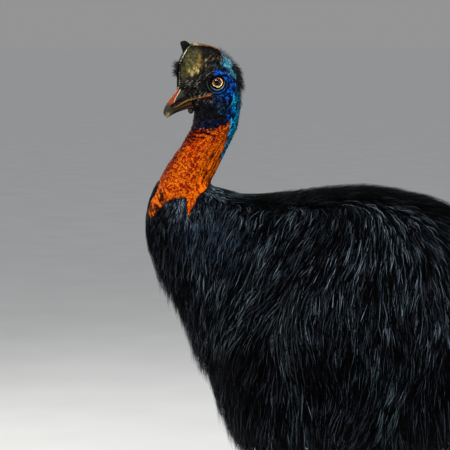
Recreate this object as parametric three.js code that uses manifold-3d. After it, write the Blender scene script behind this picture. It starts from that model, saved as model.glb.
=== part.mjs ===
// A northern cassowary, life size, standing: a still model of a young adult with a low worn casque.
// Millimetres, +Z up. The bird faces -Y, so its left side is +X. The floor is z = 0 and the
// soles of the toes are small flats on it.
//
// Trunk, neck and head are one lofted body. Each cross-section lies in a plane between a point of
// the dorsal outline and a point of the ventral outline. The body is parted by thin plane cuts into
// head, upper neck, lower neck, trunk and tail. The solid gives the outside of the plumage.

import * as THREE from 'three';
import { LoftGeometry } from 'three/addons/geometries/LoftGeometry.js';
import { mergeGeometries, mergeVertices } from 'three/addons/utils/BufferGeometryUtils.js';
import Module from 'manifold-3d';

const wasm = await Module();
wasm.setup();

// ---------------------------------------------------------------- driving dimensions
const GAP = 0.3; // clearance between touching pieces
const BACK_Z = 1000; // highest point of the back
const CREST_Y = 70; // where that point is, along the body
const BREAST_Y = -405; // foremost point of the breast
const BREAST_Z = 912; // its height
const RUMP_Y = 473; // rearmost point of the hanging tail feathers
const HEM_Z = 398; // lowest edge of the body plumage
const BODY_HALF = 206; // half the greatest width of the body, plumage included
const NECK_HALF = 43; // half the width of the bare neck
const NECK_AXIS_Y = -248; // upright axis on which the head is turned
const HEAD_YAW = 22; // degrees the head is turned towards the bird's left
const HEAD_HALF = 40; // half the width of the head at the ears
const CROWN_Z = 1288; // top of the skull behind the casque
const THROAT = [-52.5, 1150]; // the throat, forward of the neck axis, and its height
const EYE = { x: 21.5, s: -9, z: 1223.6, ball: 16.4, forward: 16 }; // globe centre, radius, degrees it looks forward
const HOCK_Z = 352; // height of the hock
const LEG_X = 92; // foot spacing from the midline
const FOOT_Y = 82; // centre of the foot's root
const HOCK_Y = 126;
const RING = 24; // corners of a body section

const rad = THREE.MathUtils.degToRad;

// ---------------------------------------------------------------- stations of the body
// One row for each named station, head to tail: the dorsal point (y, z), the ventral point (y, z),
// half width, and where up the section it is widest. Rows of the head are given from the neck axis.
const H = (ds, dz, vs, vz, half, mid) => [NECK_AXIS_Y + ds, dz, NECK_AXIS_Y + vs, vz, half, mid];
const B = (dy, dz, vy, vz, half, mid) => [dy, dz, vy, vz, half, mid];
const [TS, TZ] = THROAT;
const STATIONS = [
  H(-92, 1212, TS - 5, TZ + 16.5, 15.5, 0.46), //  0 root of the bill
  H(-76, 1230, TS - 3, TZ + 13, 21, 0.47), //  1 lores
  H(-51, 1252, TS - 1.5, TZ + 10, 28.5, 0.48), //  2 forehead
  H(-26, 1271, TS - 0.7, TZ + 7.5, HEAD_HALF - 5.5, 0.49), //  3 brow
  H(-1, CROWN_Z - 2, TS - 0.2, TZ + 5, HEAD_HALF - 2.2, 0.5), //  4 crown
  H(21, CROWN_Z - 10, TS, TZ + 2.6, HEAD_HALF - 0.5, 0.52), //  5 back of the crown
  H(40.5, 1255, TS, TZ, HEAD_HALF, 0.53), //  6 occiput
  H(50, 1225, TS + 0.1, TZ - 4, HEAD_HALF, 0.53), //  7 ear
  H(53, 1196, TS, TZ - 8.5, HEAD_HALF, 0.52), //  8 hind head
  H(51.5, 1170, TS - 0.3, TZ - 14, HEAD_HALF + 0.5, 0.51), //  9 nape
  H(48.5, 1148, TS - 1.6, TZ - 21, NECK_HALF - 1.5, 0.5), // 10 head meets neck
  H(43.5, 1125, TS - 6, TZ - 30, NECK_HALF - 1, 0.5), // 11
  H(32.5, 1100, TS - 16.5, TZ - 46, NECK_HALF - 0.6, 0.5), // 12
  H(19.5, 1073, TS - 26.5, TZ - 65, NECK_HALF, 0.5), // 13 middle of the neck
  H(6, 1046, TS - 42.5, TZ - 87, NECK_HALF + 1, 0.5), // 14
  H(-6, 1022, TS - 57, TZ - 109, NECK_HALF + 4, 0.5), // 15
  H(-14, 1004, TS - 72.5, TZ - 136, NECK_HALF + 11, 0.5), // 16 foot of the bare neck
  B(-255, 994, -388, 986, 66, 0.5), // 17 ruff
  B(-238, 989, -399, 953, 84, 0.5), // 18
  B(-207, 981, BREAST_Y + 0.5, BREAST_Z, 103, 0.5), // 19 shoulders
  B(-163, 980, -401, 863, 122, 0.5), // 20
  B(-110, 984, -385, 804, 141, 0.5), // 21
  B(-55, 991, -352, 742, 158, 0.49), // 22 breast
  B(-4, 996.5, -314, 663, 174, 0.48), // 23
  B(35, 999, -277, 595, BODY_HALF - 17, 0.47), // 24
  B(CREST_Y, BACK_Z, -250, 524, BODY_HALF - 6, 0.46), // 25 top of the back
  B(110, 997, -207, 454, BODY_HALF, 0.46), // 26
  B(158, 989.5, -148, HEM_Z + 12, BODY_HALF, 0.46), // 27 belly hem
  B(209, 978, -70, HEM_Z, BODY_HALF - 2, 0.47), // 28
  B(259, 960, 18, HEM_Z - 1, BODY_HALF - 6, 0.48), // 29
  B(306, 936, 108, HEM_Z + 3, BODY_HALF - 15, 0.49), // 30 root of the tail plumes
  B(350, 904, 186, HEM_Z + 16, BODY_HALF - 28, 0.5), // 31
  B(390, 863, 256, HEM_Z + 38, BODY_HALF - 46, 0.5), // 32
  B(423, 813, 318, HEM_Z + 68, BODY_HALF - 69, 0.5), // 33
  B(449, 755, 370, HEM_Z + 106, BODY_HALF - 96, 0.5), // 34
  B(466, 694, 411, HEM_Z + 150, BODY_HALF - 126, 0.5), // 35
  B(RUMP_Y, 637, 441, HEM_Z + 190, BODY_HALF - 160, 0.5), // 36 tip of the tail plumes
];
const LAST = STATIONS.length - 1;
const curveOf = (pick) =>
  new THREE.CatmullRomCurve3(
    STATIONS.map((s) => new THREE.Vector3(...pick(s))),
    false,
    'catmullrom',
    0.5
  );
const dorsal = curveOf((s) => [0, s[0], s[1]]);
const ventral = curveOf((s) => [0, s[2], s[3]]);
const girth = curveOf((s) => [s[4], s[5], 0]);

// how flat the flanks are above and below the widest line: 1 is an ellipse, less is squarer
const flank = (k, low) => THREE.MathUtils.lerp(0.95, low ? 0.66 : 0.8, THREE.MathUtils.smoothstep(k, 18, 26));
// how round the back and the hem of the plumage are
const ridge = (k, low) => THREE.MathUtils.lerp(0.98, low ? 0.9 : 1.06, THREE.MathUtils.smoothstep(k, 18, 26));
// the turn of the head runs out down the neck
const yaw = (k) => rad(HEAD_YAW) * (1 - THREE.MathUtils.smoothstep(k, 8.5, 14.5));

function turn(p, angle) {
  const c = Math.cos(angle), s = Math.sin(angle), y = p.y - NECK_AXIS_Y;
  return p.set(c * p.x - s * y, NECK_AXIS_Y + s * p.x + c * y, p.z);
}

// A point of the body's surface: k is the station, a the angle from the dorsal line over the left
// side, grow a distance outwards, along the section's plane.
function surface(k, a, grow = 0, turned = true) {
  const t = k / LAST;
  const d = dorsal.getPoint(t), v = ventral.getPoint(t), g = girth.getPoint(t);
  const up = d.clone().sub(v);
  const span = up.length();
  up.normalize();
  const c = Math.cos(a), s = Math.sin(a);
  const low = c < 0;
  const lift = low ? -(span * g.y + grow) * Math.pow(-c, ridge(k, low)) : (span * (1 - g.y) + grow) * Math.pow(c, ridge(k, low));
  const side = (g.x + grow) * Math.sign(s) * Math.pow(Math.abs(s), flank(k, low));
  const p = v.addScaledVector(up, span * g.y + lift);
  p.x = side;
  return turned ? turn(p, yaw(k)) : p;
}

// the direction across a section, towards the tail
function across(k, turned = true) {
  const t = k / LAST;
  const up = dorsal.getPoint(t).sub(ventral.getPoint(t)).normalize();
  const n = new THREE.Vector3(0, up.z, -up.y);
  const a = turned ? yaw(k) : 0;
  return new THREE.Vector3(-Math.sin(a) * n.y, Math.cos(a) * n.y, n.z);
}

// ---------------------------------------------------------------- solids
function closed(geometry) {
  if (geometry.userData.whole) return geometry;
  const g = new THREE.BufferGeometry().copy(geometry);
  for (const name of Object.keys(g.attributes)) if (name !== 'position') g.deleteAttribute(name);
  return mergeVertices(g, 1e-3);
}

function volume(g) {
  const p = g.getAttribute('position'), i = g.index.array;
  const a = new THREE.Vector3(), b = new THREE.Vector3(), c = new THREE.Vector3();
  let sum = 0;
  for (let n = 0; n < i.length; n += 3) {
    a.fromBufferAttribute(p, i[n]);
    b.fromBufferAttribute(p, i[n + 1]);
    c.fromBufferAttribute(p, i[n + 2]);
    sum += a.dot(b.cross(c)) / 6;
  }
  return sum;
}

function outward(geometry) {
  const g = closed(geometry);
  if (volume(g) < 0) {
    const i = g.index.array;
    for (let n = 0; n < i.length; n += 3) [i[n], i[n + 1]] = [i[n + 1], i[n]];
  }
  return g;
}

// A fan of faces that closes one end of a loft.
function fan(section, start) {
  const centre = section.reduce((sum, p) => sum.add(p), new THREE.Vector3()).divideScalar(section.length);
  const points = section.flatMap((p, j) => {
    const q = section[(j + 1) % section.length];
    return start ? [q, p, centre] : [p, q, centre];
  });
  return new THREE.BufferGeometry().setFromPoints(points);
}

function loft(sections) {
  const wall = new LoftGeometry(sections).toNonIndexed();
  wall.deleteAttribute('normal');
  wall.deleteAttribute('uv');
  return outward(mergeGeometries([wall, fan(sections[0], true), fan(sections[sections.length - 1], false)]));
}

function solid(geometry) {
  const g = outward(geometry);
  return new wasm.Manifold(
    new wasm.Mesh({
      numProp: 3,
      vertProperties: Float32Array.from(g.getAttribute('position').array),
      triVerts: Uint32Array.from(g.index.array),
    })
  );
}

function geometryOf(manifold) {
  const m = manifold.getMesh();
  const g = new THREE.BufferGeometry();
  g.setAttribute('position', new THREE.BufferAttribute(Float32Array.from(m.vertProperties), 3));
  g.setIndex(new THREE.BufferAttribute(Uint32Array.from(m.triVerts), 1));
  g.userData.whole = true;
  return g;
}

// A solid cut clear of others. Where a cut leaves a sliver, the sliver goes.
function cut(manifold, ...others) {
  for (const other of others) manifold = manifold.subtract(other);
  return manifold.decompose().sort((a, b) => b.volume() - a.volume())[0];
}

// A length of the body between two stations, each end drawn back by half the gap.
function bodyLength(from, to, rings, { grow = 0, trim = GAP / 2, turned = true } = {}) {
  const sections = [];
  for (let n = 0; n <= rings; n++) {
    const k = from + ((to - from) * n) / rings;
    const shift = n === 0 ? trim : n === rings ? -trim : 0;
    const n3 = across(k, turned).multiplyScalar(shift);
    const section = [];
    for (let j = 0; j < RING; j++) section.push(surface(k, (j / RING) * 2 * Math.PI, grow, turned).add(n3));
    sections.push(section);
  }
  return loft(sections);
}

// An oval section at a point: across is the sideways axis, up the other one.
function oval(centre, side, up, half, high, low, corners, square = 1) {
  const points = [];
  for (let j = 0; j < corners; j++) {
    const a = (j / corners) * 2 * Math.PI, c = Math.cos(a), s = Math.sin(a);
    const lift = (c >= 0 ? high : low) * Math.sign(c) * Math.pow(Math.abs(c), square);
    points.push(
      centre.clone().addScaledVector(side, half * Math.sign(s) * Math.pow(Math.abs(s), square)).addScaledVector(up, lift)
    );
  }
  return points;
}

// A limb: ovals along a curve, square to it. sizes(t) gives [half width, half depth].
function limb(points, sizes, rings, corners, side = new THREE.Vector3(1, 0, 0), square = 1) {
  const path = new THREE.CatmullRomCurve3(points.map((p) => new THREE.Vector3(...p)), false, 'catmullrom', 0.5);
  const sections = [];
  for (let n = 0; n <= rings; n++) {
    const t = n / rings;
    const along = path.getTangent(t);
    const up = new THREE.Vector3().crossVectors(side, along).normalize();
    const w = new THREE.Vector3().crossVectors(along, up).normalize();
    const [half, deep] = sizes(t);
    sections.push(oval(path.getPoint(t), w, up, half, deep, deep, corners, square));
  }
  return loft(sections);
}

// ---------------------------------------------------------------- head, in its own unturned frame
const headFrame = (geometry) => {
  geometry.translate(0, -NECK_AXIS_Y, 0);
  geometry.rotateZ(rad(HEAD_YAW));
  geometry.translate(0, NECK_AXIS_Y, 0);
  return geometry;
};
const HY = (s) => NECK_AXIS_Y + s;

// eyes: a globe with a raised cornea
function eyeGlobe(side, grow = 0) {
  const globe = new THREE.SphereGeometry(EYE.ball + grow, 12, 8);
  const cornea = new THREE.SphereGeometry(EYE.ball * 0.62 + grow, 10, 6);
  cornea.translate(EYE.ball * 0.5, 0, 0);
  const place = (g) => {
    g.rotateZ(rad(-EYE.forward));
    if (side < 0) g.scale(-1, 1, 1);
    return g.translate(side * EYE.x, HY(EYE.s), EYE.z);
  };
  return solid(place(globe)).add(solid(place(cornea)));
}

// casque: a low wedge from the root of the bill to the crown, with a flat worn top and a front knob
const CASQUE = { front: -92, back: 10, top: 1309.5, backTop: 1299, frontHalf: 9, topHalf: 15.5, baseHalf: 21 };
const CASQUE_BROW = [[0, 1264], [0.03, 1278], [0.12, 1292], [0.25, 1308.5], [0.34, CASQUE.top], [1, CASQUE.top]]; // front edge, leaning back
function casqueSections(places) {
  const sections = [];
  for (const t of places) {
    const s = THREE.MathUtils.lerp(CASQUE.front, CASQUE.back, t);
    const rise = THREE.MathUtils.smoothstep(t, 0, 0.22);
    const fall = THREE.MathUtils.smoothstep(t, 0.55, 1);
    const after = Math.max(1, CASQUE_BROW.findIndex(([at]) => at >= t));
    const [[t0, z0], [t1, z1]] = [CASQUE_BROW[after - 1], CASQUE_BROW[after]];
    const top = THREE.MathUtils.lerp(THREE.MathUtils.lerp(z0, z1, (t - t0) / (t1 - t0)), CASQUE.backTop, fall);
    const foot = THREE.MathUtils.lerp(1206, 1276, Math.pow(t, 0.85));
    const taper = 1 - 0.55 * THREE.MathUtils.smoothstep(t, 0.72, 1);
    const topHalf = THREE.MathUtils.lerp(CASQUE.frontHalf - 3, CASQUE.topHalf, rise) * taper;
    const baseHalf = THREE.MathUtils.lerp(CASQUE.frontHalf, CASQUE.baseHalf, rise) * taper;
    const h = top - foot;
    const y = HY(s);
    const half = [
      [baseHalf, foot], [baseHalf, foot + h * 0.25], [baseHalf * 0.93, foot + h * 0.5],
      [THREE.MathUtils.lerp(baseHalf, topHalf, 0.75), foot + h * 0.76], [topHalf, foot + h * 0.92],
      [topHalf * 0.82, foot + h * 0.985], [topHalf * 0.3, top],
    ];
    const section = half.map(([x, z]) => new THREE.Vector3(x, y, z));
    for (const [x, z] of half.slice().reverse()) section.push(new THREE.Vector3(-x, y, z));
    sections.push(section);
  }
  return sections;
}

// bill: each half is lofted from its root to its tip; the cutting edges meet at the gape line
const BILL = {
  culmen: [[-91.24, 1211], [-98.5, 1201], [-108.5, 1189.5], [-118, 1178], [-124.2, 1166], [-125.4, 1156], [-122.6, 1150.5]],
  edge: [[-70.92, 1184.2], [-81, 1180], [-90, 1175], [-98, 1170.6], [-106.5, 1166.8], [-114, 1161.5], [-119.5, 1152.5]],
  keel: [[-58.26, 1167.5], [-65, 1166], [-77, 1163.4], [-89, 1160.2], [-100.5, 1155.6], [-110, 1150.6], [-117.4, 1147]],
  half: [16.5, 15.2, 13.4, 11.2, 8.6, 5.6, 2.2],
};
function billHalf(upper, rings, grow = 0) {
  const track = (rows) => new THREE.CatmullRomCurve3(rows.map(([s, z]) => new THREE.Vector3(0, HY(s), z)), false, 'catmullrom', 0.5);
  const edge = track(BILL.edge), far = track(upper ? BILL.culmen : BILL.keel);
  const width = new THREE.CatmullRomCurve3(BILL.half.map((w) => new THREE.Vector3(w, 0, 0)), false, 'catmullrom', 0.5);
  const sections = [];
  const slit = upper ? GAP * 0.6 : -GAP * 0.6;
  for (let n = 0; n <= rings; n++) {
    const t = n / rings;
    const e = edge.getPoint(t), f = far.getPoint(t), w = width.getPoint(t).x * (upper ? 1 : 0.92) + grow;
    f.z += upper ? grow : -grow;
    e.z += slit;
    const rows = upper
      ? [[1, 0], [1.0, 0.22], [0.9, 0.5], [0.66, 0.78], [0.36, 0.96], [0.12, 1]]
      : [[1, 0], [1.0, 0.25], [0.88, 0.55], [0.62, 0.85], [0.28, 1]];
    const section = rows.map(([x, h]) => e.clone().lerp(f, h).setX(x * w));
    for (const [x, h] of rows.slice().reverse()) section.push(e.clone().lerp(f, h).setX(-x * w));
    if (n === 0) for (const p of section) p.addScaledVector(across(0, false), -GAP * 0.6);
    sections.push(section);
  }
  return loft(sections);
}

// ---------------------------------------------------------------- wings: short pads on the flanks
const WING = { from: 20.4, to: 25.2, rings: 8, thick: 20, proud: 7 };
function wingSolid(side, grow = 0) {
  const sections = [];
  for (let n = 0; n <= WING.rings; n++) {
    const t = n / WING.rings;
    const k = THREE.MathUtils.lerp(WING.from, WING.to, t) + (n === 0 ? -grow / 60 : n === WING.rings ? grow / 60 : 0);
    const open = Math.pow(Math.sin(Math.PI * THREE.MathUtils.clamp(0.1 + 0.84 * t, 0, 1)), 0.6);
    const middle = THREE.MathUtils.lerp(72, 88, t);
    const spread = 19 * open + grow * 0.3;
    const section = [];
    const steps = 5;
    for (let j = 0; j <= steps; j++) {
      const u = j / steps;
      const a = rad(middle - spread + 2 * spread * u);
      section.push(surface(k, side * a, WING.proud * Math.sin(Math.PI * u) * open + 0.6 + grow));
    }
    for (let j = steps; j >= 0; j--) {
      const u = j / steps;
      const a = rad(middle - spread + 2 * spread * u);
      section.push(surface(k, side * a, -WING.thick * (0.4 + 0.6 * Math.sin(Math.PI * u)) * open - grow));
    }
    sections.push(section);
  }
  return solid(loft(sections));
}

// ---------------------------------------------------------------- legs
const lerpTable = (rows) => (t) => {
  const curve = new THREE.CatmullRomCurve3(rows.map(([a, b]) => new THREE.Vector3(a, b, 0)), false, 'catmullrom', 0.5);
  const p = curve.getPoint(t);
  return [p.x, p.y];
};
function thighSolid(side) {
  return solid(
    limb(
      [[side * 92, HOCK_Y - 34, 520], [side * 93, HOCK_Y - 22, 465], [side * 94, HOCK_Y - 11, 415], [side * (LEG_X + 1), HOCK_Y - 3, 378], [side * LEG_X, HOCK_Y, HOCK_Z + 6]],
      lerpTable([[46, 88], [46, 76], [41, 56], [32, 38], [24, 28]]),
      9, 14
    )
  );
}
function tarsusSolid(side, grow = 0) {
  const shank = limb(
    [[side * LEG_X, HOCK_Y + 0.2, HOCK_Z + 5.4 + grow], [side * LEG_X, HOCK_Y, HOCK_Z - 22], [side * LEG_X, HOCK_Y - 8, HOCK_Z - 80],
      [side * LEG_X, (HOCK_Y + FOOT_Y) / 2 + 4, 180], [side * LEG_X, FOOT_Y + 10, 95], [side * LEG_X, FOOT_Y, 52], [side * LEG_X, FOOT_Y - 4, 24]],
    (t) => {
      const [w, d] = lerpTable([[24, 28], [25, 29], [18, 20], [14.5, 17], [15, 18], [22, 21], [27, 21]])(t);
      return [w + grow, d + grow];
    },
    12, 10
  );
  const pad = new THREE.SphereGeometry(1, 10, 7);
  pad.scale(31 + grow, 30 + grow, 24 + grow);
  pad.translate(side * LEG_X, FOOT_Y - 5, 25);
  const p = pad.getAttribute('position');
  const floor = grow ? -1 : 0;
  for (let n = 0; n < p.count; n++) if (p.getZ(n) < 4) p.setZ(n, floor);
  return solid(shank).add(solid(pad));
}
// toes: direction outwards in degrees, length of flesh, root and tip half widths, length of claw
const TOES = {
  inner: { angle: -27, length: 78, root: 19, tip: 14.5, claw: 96, clawHalf: 9, drop: 3 },
  middle: { angle: 4, length: 140, root: 22, tip: 14, claw: 42, clawHalf: 9.5, drop: 10 },
  outer: { angle: 36, length: 104, root: 18.5, tip: 12.5, claw: 34, clawHalf: 8, drop: 9 },
};
function toeFrame(side, toe) {
  const a = rad(toe.angle) * side;
  return { root: new THREE.Vector3(side * LEG_X, FOOT_Y - 6, 0), dir: new THREE.Vector3(Math.sin(a), -Math.cos(a), 0), across: new THREE.Vector3(Math.cos(a), Math.sin(a), 0) };
}
function toeSolid(side, toe) {
  const { root, dir, across: w } = toeFrame(side, toe);
  const rings = 8, sections = [];
  for (let n = 0; n <= rings; n++) {
    const t = n / rings;
    const along = t * (toe.length + 6);
    const pads = 1 + 0.055 * Math.cos(t * Math.PI * (toe.length > 120 ? 7 : 5));
    const end = Math.sqrt(Math.max(0.16, 1 - Math.pow(Math.max(0, t - 0.8) / 0.2, 2) * 0.84));
    const half = THREE.MathUtils.lerp(toe.root, toe.tip, t) * pads * end;
    const high = THREE.MathUtils.lerp(41, toe.tip * 2.05, Math.pow(t, 0.7)) * pads * (0.4 + 0.6 * end);
    const section = oval(root.clone().addScaledVector(dir, along).setZ(high * 0.42), w, new THREE.Vector3(0, 0, 1), half, high * 0.58, high * 0.46, 8, 0.86);
    for (const p of section) if (p.z < 1.2) p.z = 0;
    sections.push(section);
  }
  return solid(loft(sections));
}
function clawSolid(side, toe) {
  const { root, dir, across: w } = toeFrame(side, toe);
  const rings = 5, sections = [];
  const start = toe.length - 1;
  for (let n = 0; n <= rings; n++) {
    const t = n / rings;
    const along = start + t * toe.claw;
    const half = toe.clawHalf * (1 - 0.93 * Math.pow(t, 1.25)) * (n === 0 ? 0.8 : 1);
    const height = toe.clawHalf * 1.1 * (1 - 0.92 * Math.pow(t, 1.2));
    const middle = Math.max(height * 0.98, toe.tip * 1.0 + toe.drop * 0.3 - (toe.tip * 1.0 + toe.drop * 0.3 - 1.4) * Math.pow(t, 1.35));
    const section = oval(root.clone().addScaledVector(dir, along).setZ(middle), w, new THREE.Vector3(0, 0, 1), half, height, height * 0.9, 7);
    sections.push(section);
  }
  return solid(loft(sections));
}

// ---------------------------------------------------------------- the bird
const COLOURS = {
  plume: 0x14161a, skinBlue: 0x2450a8, skinOrange: 0xe4571a, horn: 0x6a6350, billHorn: 0x3a3632, eye: 0xe09a30, leg: 0x6d6f5c, claw: 0x2c2a26, wattle: 0x1a1a20,
};
const bird = new THREE.Group();
function piece(name, geometry, colour, roughness = 0.8) {
  const g = geometry instanceof THREE.BufferGeometry ? geometry : geometryOf(geometry);
  const mesh = new THREE.Mesh(g, new THREE.MeshStandardMaterial({ color: colour, roughness, metalness: 0 }));
  mesh.name = name;
  bird.add(mesh);
  return mesh;
}

// head in its unturned frame, then turned with everything it carries
const headGrown = solid(bodyLength(0, 10, 16, { grow: GAP, trim: -GAP }));
const eyes = { L: eyeGlobe(1), R: eyeGlobe(-1) };
const turnSolid = (m) => solid(headFrame(geometryOf(m)));
const eyeCuts = { L: turnSolid(eyeGlobe(1, GAP)), R: turnSolid(eyeGlobe(-1, GAP)) };
const casqueBody = solid(headFrame(loft(casqueSections([0, 0.03, 0.12, 0.25, 0.34, 0.48, 0.63, 0.77, 0.89, 1]))));
const knob = new THREE.SphereGeometry(1, 10, 6);
knob.scale(8.8, 8.2, 12);
knob.rotateX(rad(-14));
knob.translate(0, HY(-77.8), 1303.5);
const casque = casqueBody.add(solid(headFrame(knob)));
const billLower = solid(headFrame(billHalf(false, 7)));
const wattleBall = new THREE.SphereGeometry(1, 10, 7);
wattleBall.scale(5.6, 6.2, 7.4);
wattleBall.translate(0, HY(-62.5), 1160.5);

piece('head', cut(solid(bodyLength(0, 10, 16)), eyeCuts.L, eyeCuts.R), COLOURS.skinBlue, 0.7);
piece('neck_upper', bodyLength(10, 16, 9), COLOURS.skinOrange, 0.7);
piece('neck_lower', bodyLength(16, 19.5, 5), COLOURS.plume);
piece('casque', cut(casque, headGrown, solid(headFrame(billHalf(true, 7, GAP)))), COLOURS.horn, 0.55);
piece('bill_upper', headFrame(billHalf(true, 7)), COLOURS.billHorn, 0.45);
piece('bill_lower', billLower, COLOURS.billHorn, 0.45);
piece('wattle', cut(solid(headFrame(wattleBall)), headGrown, solid(headFrame(billHalf(false, 7, GAP)))), COLOURS.wattle, 0.6);
for (const tag of ['L', 'R']) piece(`eye_${tag}`, turnSolid(eyes[tag]), COLOURS.eye, 0.1);

const wings = { L: wingSolid(1), R: wingSolid(-1) };
const trunkWhole = solid(bodyLength(19.5, 31.5, 19));
const trunkGrown = solid(bodyLength(19.5, 31.5, 19, { grow: GAP, trim: -GAP }));
piece('trunk', cut(trunkWhole, wingSolid(1, GAP), wingSolid(-1, GAP)), COLOURS.plume);
piece('tail', bodyLength(31.5, LAST, 6), COLOURS.plume);
for (const tag of ['L', 'R']) piece(`wing_${tag}`, wings[tag], COLOURS.plume);

for (const [tag, side] of [['L', 1], ['R', -1]]) {
  const shankGrown = tarsusSolid(side, GAP);
  piece(`thigh_${tag}`, cut(thighSolid(side), trunkGrown, shankGrown), COLOURS.plume);
  piece(`tarsus_${tag}`, tarsusSolid(side), COLOURS.leg, 0.75);
  let others = shankGrown;
  for (const name of ['middle', 'inner', 'outer']) {
    const toe = cut(toeSolid(side, TOES[name]), others);
    piece(`toe_${name}_${tag}`, toe, COLOURS.leg, 0.75);
    const claw = cut(clawSolid(side, TOES[name]), toeSolid(side, { ...TOES[name], tip: TOES[name].tip + GAP * 0.6, root: TOES[name].root + GAP, length: TOES[name].length + GAP }));
    piece(`claw_${name}_${tag}`, claw, COLOURS.claw, 0.4);
    others = others.add(toeSolid(side, { ...TOES[name], tip: TOES[name].tip + GAP, root: TOES[name].root + GAP }));
  }
}

// the origin is under the middle of the whole bird, on the floor
const box = new THREE.Box3().setFromObject(bird);
bird.position.set(-(box.min.x + box.max.x) / 2, -(box.min.y + box.max.y) / 2, -box.min.z);

export default bird;
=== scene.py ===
import json
import math
import time

import bpy
import numpy as np
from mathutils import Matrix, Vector


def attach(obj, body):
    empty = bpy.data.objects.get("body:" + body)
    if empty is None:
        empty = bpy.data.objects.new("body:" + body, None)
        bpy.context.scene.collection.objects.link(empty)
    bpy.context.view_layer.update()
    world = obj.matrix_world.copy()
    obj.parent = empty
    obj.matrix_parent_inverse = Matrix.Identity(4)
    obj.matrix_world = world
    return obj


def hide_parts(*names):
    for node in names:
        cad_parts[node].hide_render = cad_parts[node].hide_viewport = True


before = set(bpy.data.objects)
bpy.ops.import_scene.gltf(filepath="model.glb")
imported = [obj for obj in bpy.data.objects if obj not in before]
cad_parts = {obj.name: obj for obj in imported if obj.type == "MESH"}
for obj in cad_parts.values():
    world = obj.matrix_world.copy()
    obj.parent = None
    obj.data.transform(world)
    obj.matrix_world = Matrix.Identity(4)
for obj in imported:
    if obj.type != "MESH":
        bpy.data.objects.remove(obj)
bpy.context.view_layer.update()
RNG = np.random.default_rng(20)
CLOCK = time.time()
TALLY = {}


def said(what):
    print(f"[{time.time() - CLOCK:6.1f}s] {what}", flush=True)


# Lengths are in millimetres while shapes are made: x is the bird's left, y runs to the tail, z is up.
# LIFT takes them into the part's frame, in metres.
SHIFT_Y = -34.361374


def lift(p):
    return (np.asarray(p, float) + (0, SHIFT_Y, 0)) / 1000.0


# ------------------------------------------------------------------ small mathematics
def smooth(x, a, b):
    t = np.clip((np.asarray(x, float) - a) / (b - a), 0, 1)
    return t * t * (3 - 2 * t)


def mix(a, b, t):
    return a + (b - a) * t


def bell(x, width):
    return np.exp(-((x / width) ** 2))


def unit(v):
    return v / np.maximum(np.linalg.norm(v, axis=-1, keepdims=True), 1e-12)


def hashed(i, j, k, seed):
    h = (i * 73856093) ^ (j * 19349663) ^ (k * 83492791) ^ (seed * 374761393)
    h = h & 0xFFFFFFFF
    h = ((h ^ (h >> 15)) * 2246822519) & 0xFFFFFFFF
    h = ((h ^ (h >> 13)) * 3266489917) & 0xFFFFFFFF
    return ((h ^ (h >> 16)) & 0xFFFFFF) / float(0xFFFFFF)


def noise(p, size, seed=0):
    """Smooth noise from -1 to 1 with features about `size` across."""
    q = np.asarray(p, float) / size + 1000.0
    i = np.floor(q).astype(np.int64)
    f = q - i
    f = f * f * f * (f * (f * 6 - 15) + 10)
    total = 0.0
    for dx in (0, 1):
        for dy in (0, 1):
            for dz in (0, 1):
                w = (f[..., 0] if dx else 1 - f[..., 0]) * (f[..., 1] if dy else 1 - f[..., 1]) * (f[..., 2] if dz else 1 - f[..., 2])
                total = total + w * hashed(i[..., 0] + dx, i[..., 1] + dy, i[..., 2] + dz, seed)
    return total * 2 - 1


def fractal(p, size, seed=0, octaves=3, gain=0.5):
    total, amp, norm = 0.0, 1.0, 0.0
    for o in range(octaves):
        total = total + amp * noise(p, size / 2**o, seed + 17 * o)
        norm += amp
        amp *= gain
    return total / norm


def cells(p, size, seed=0, squash=(1, 1, 1)):
    """Nearest and second nearest distance to scattered points, in cells, and a number for the nearest cell."""
    q = np.asarray(p, float) / (size * np.asarray(squash, float)) + 1000.0
    i = np.floor(q).astype(np.int64)
    f = q - i
    first = np.full(q.shape[:-1], 9.0)
    second = first.copy()
    who = first.copy()
    for dx in (-1, 0, 1):
        for dy in (-1, 0, 1):
            for dz in (-1, 0, 1):
                a, b, c = i[..., 0] + dx, i[..., 1] + dy, i[..., 2] + dz
                d = (
                    (dx + hashed(a, b, c, seed + 1) - f[..., 0]) ** 2
                    + (dy + hashed(a, b, c, seed + 2) - f[..., 1]) ** 2
                    + (dz + hashed(a, b, c, seed + 3) - f[..., 2]) ** 2
                )
                near = d < first
                second = np.where(near, first, np.minimum(second, d))
                who = np.where(near, hashed(a, b, c, seed + 4), who)
                first = np.where(near, d, first)
    return np.sqrt(first), np.sqrt(second), who


def line_distance(x, y, points):
    """Distance to a bent line in a plane, and how far along it the nearest place is, 0 to 1."""
    pts = np.asarray(points, float)
    lengths = np.hypot(*(pts[1:] - pts[:-1]).T)
    run = np.concatenate([[0], np.cumsum(lengths)])
    best, along = np.full(np.shape(x), 1e9), np.zeros(np.shape(x))
    for n in range(len(pts) - 1):
        dx, dy = pts[n + 1] - pts[n]
        t = np.clip(((x - pts[n, 0]) * dx + (y - pts[n, 1]) * dy) / (dx * dx + dy * dy), 0, 1)
        d = np.hypot(x - pts[n, 0] - t * dx, y - pts[n, 1] - t * dy)
        near = d < best
        best = np.where(near, d, best)
        along = np.where(near, run[n] + t * lengths[n], along)
    return best, along / run[-1]


def inside(x, y, points):
    """Signed distance to a closed outline, positive within."""
    pts = np.asarray(points, float)
    d, _ = line_distance(x, y, np.vstack([pts, pts[:1]]))
    odd = np.zeros(np.shape(x), bool)
    for n in range(len(pts)):
        (ax, ay), (bx, by) = pts[n], pts[(n + 1) % len(pts)]
        cross = (ay > y) != (by > y)
        with np.errstate(divide="ignore", invalid="ignore"):
            odd ^= cross & (x < (bx - ax) * (y - ay) / (by - ay if by != ay else 1e-9) + ax)
    return np.where(odd, d, -d)


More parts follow.
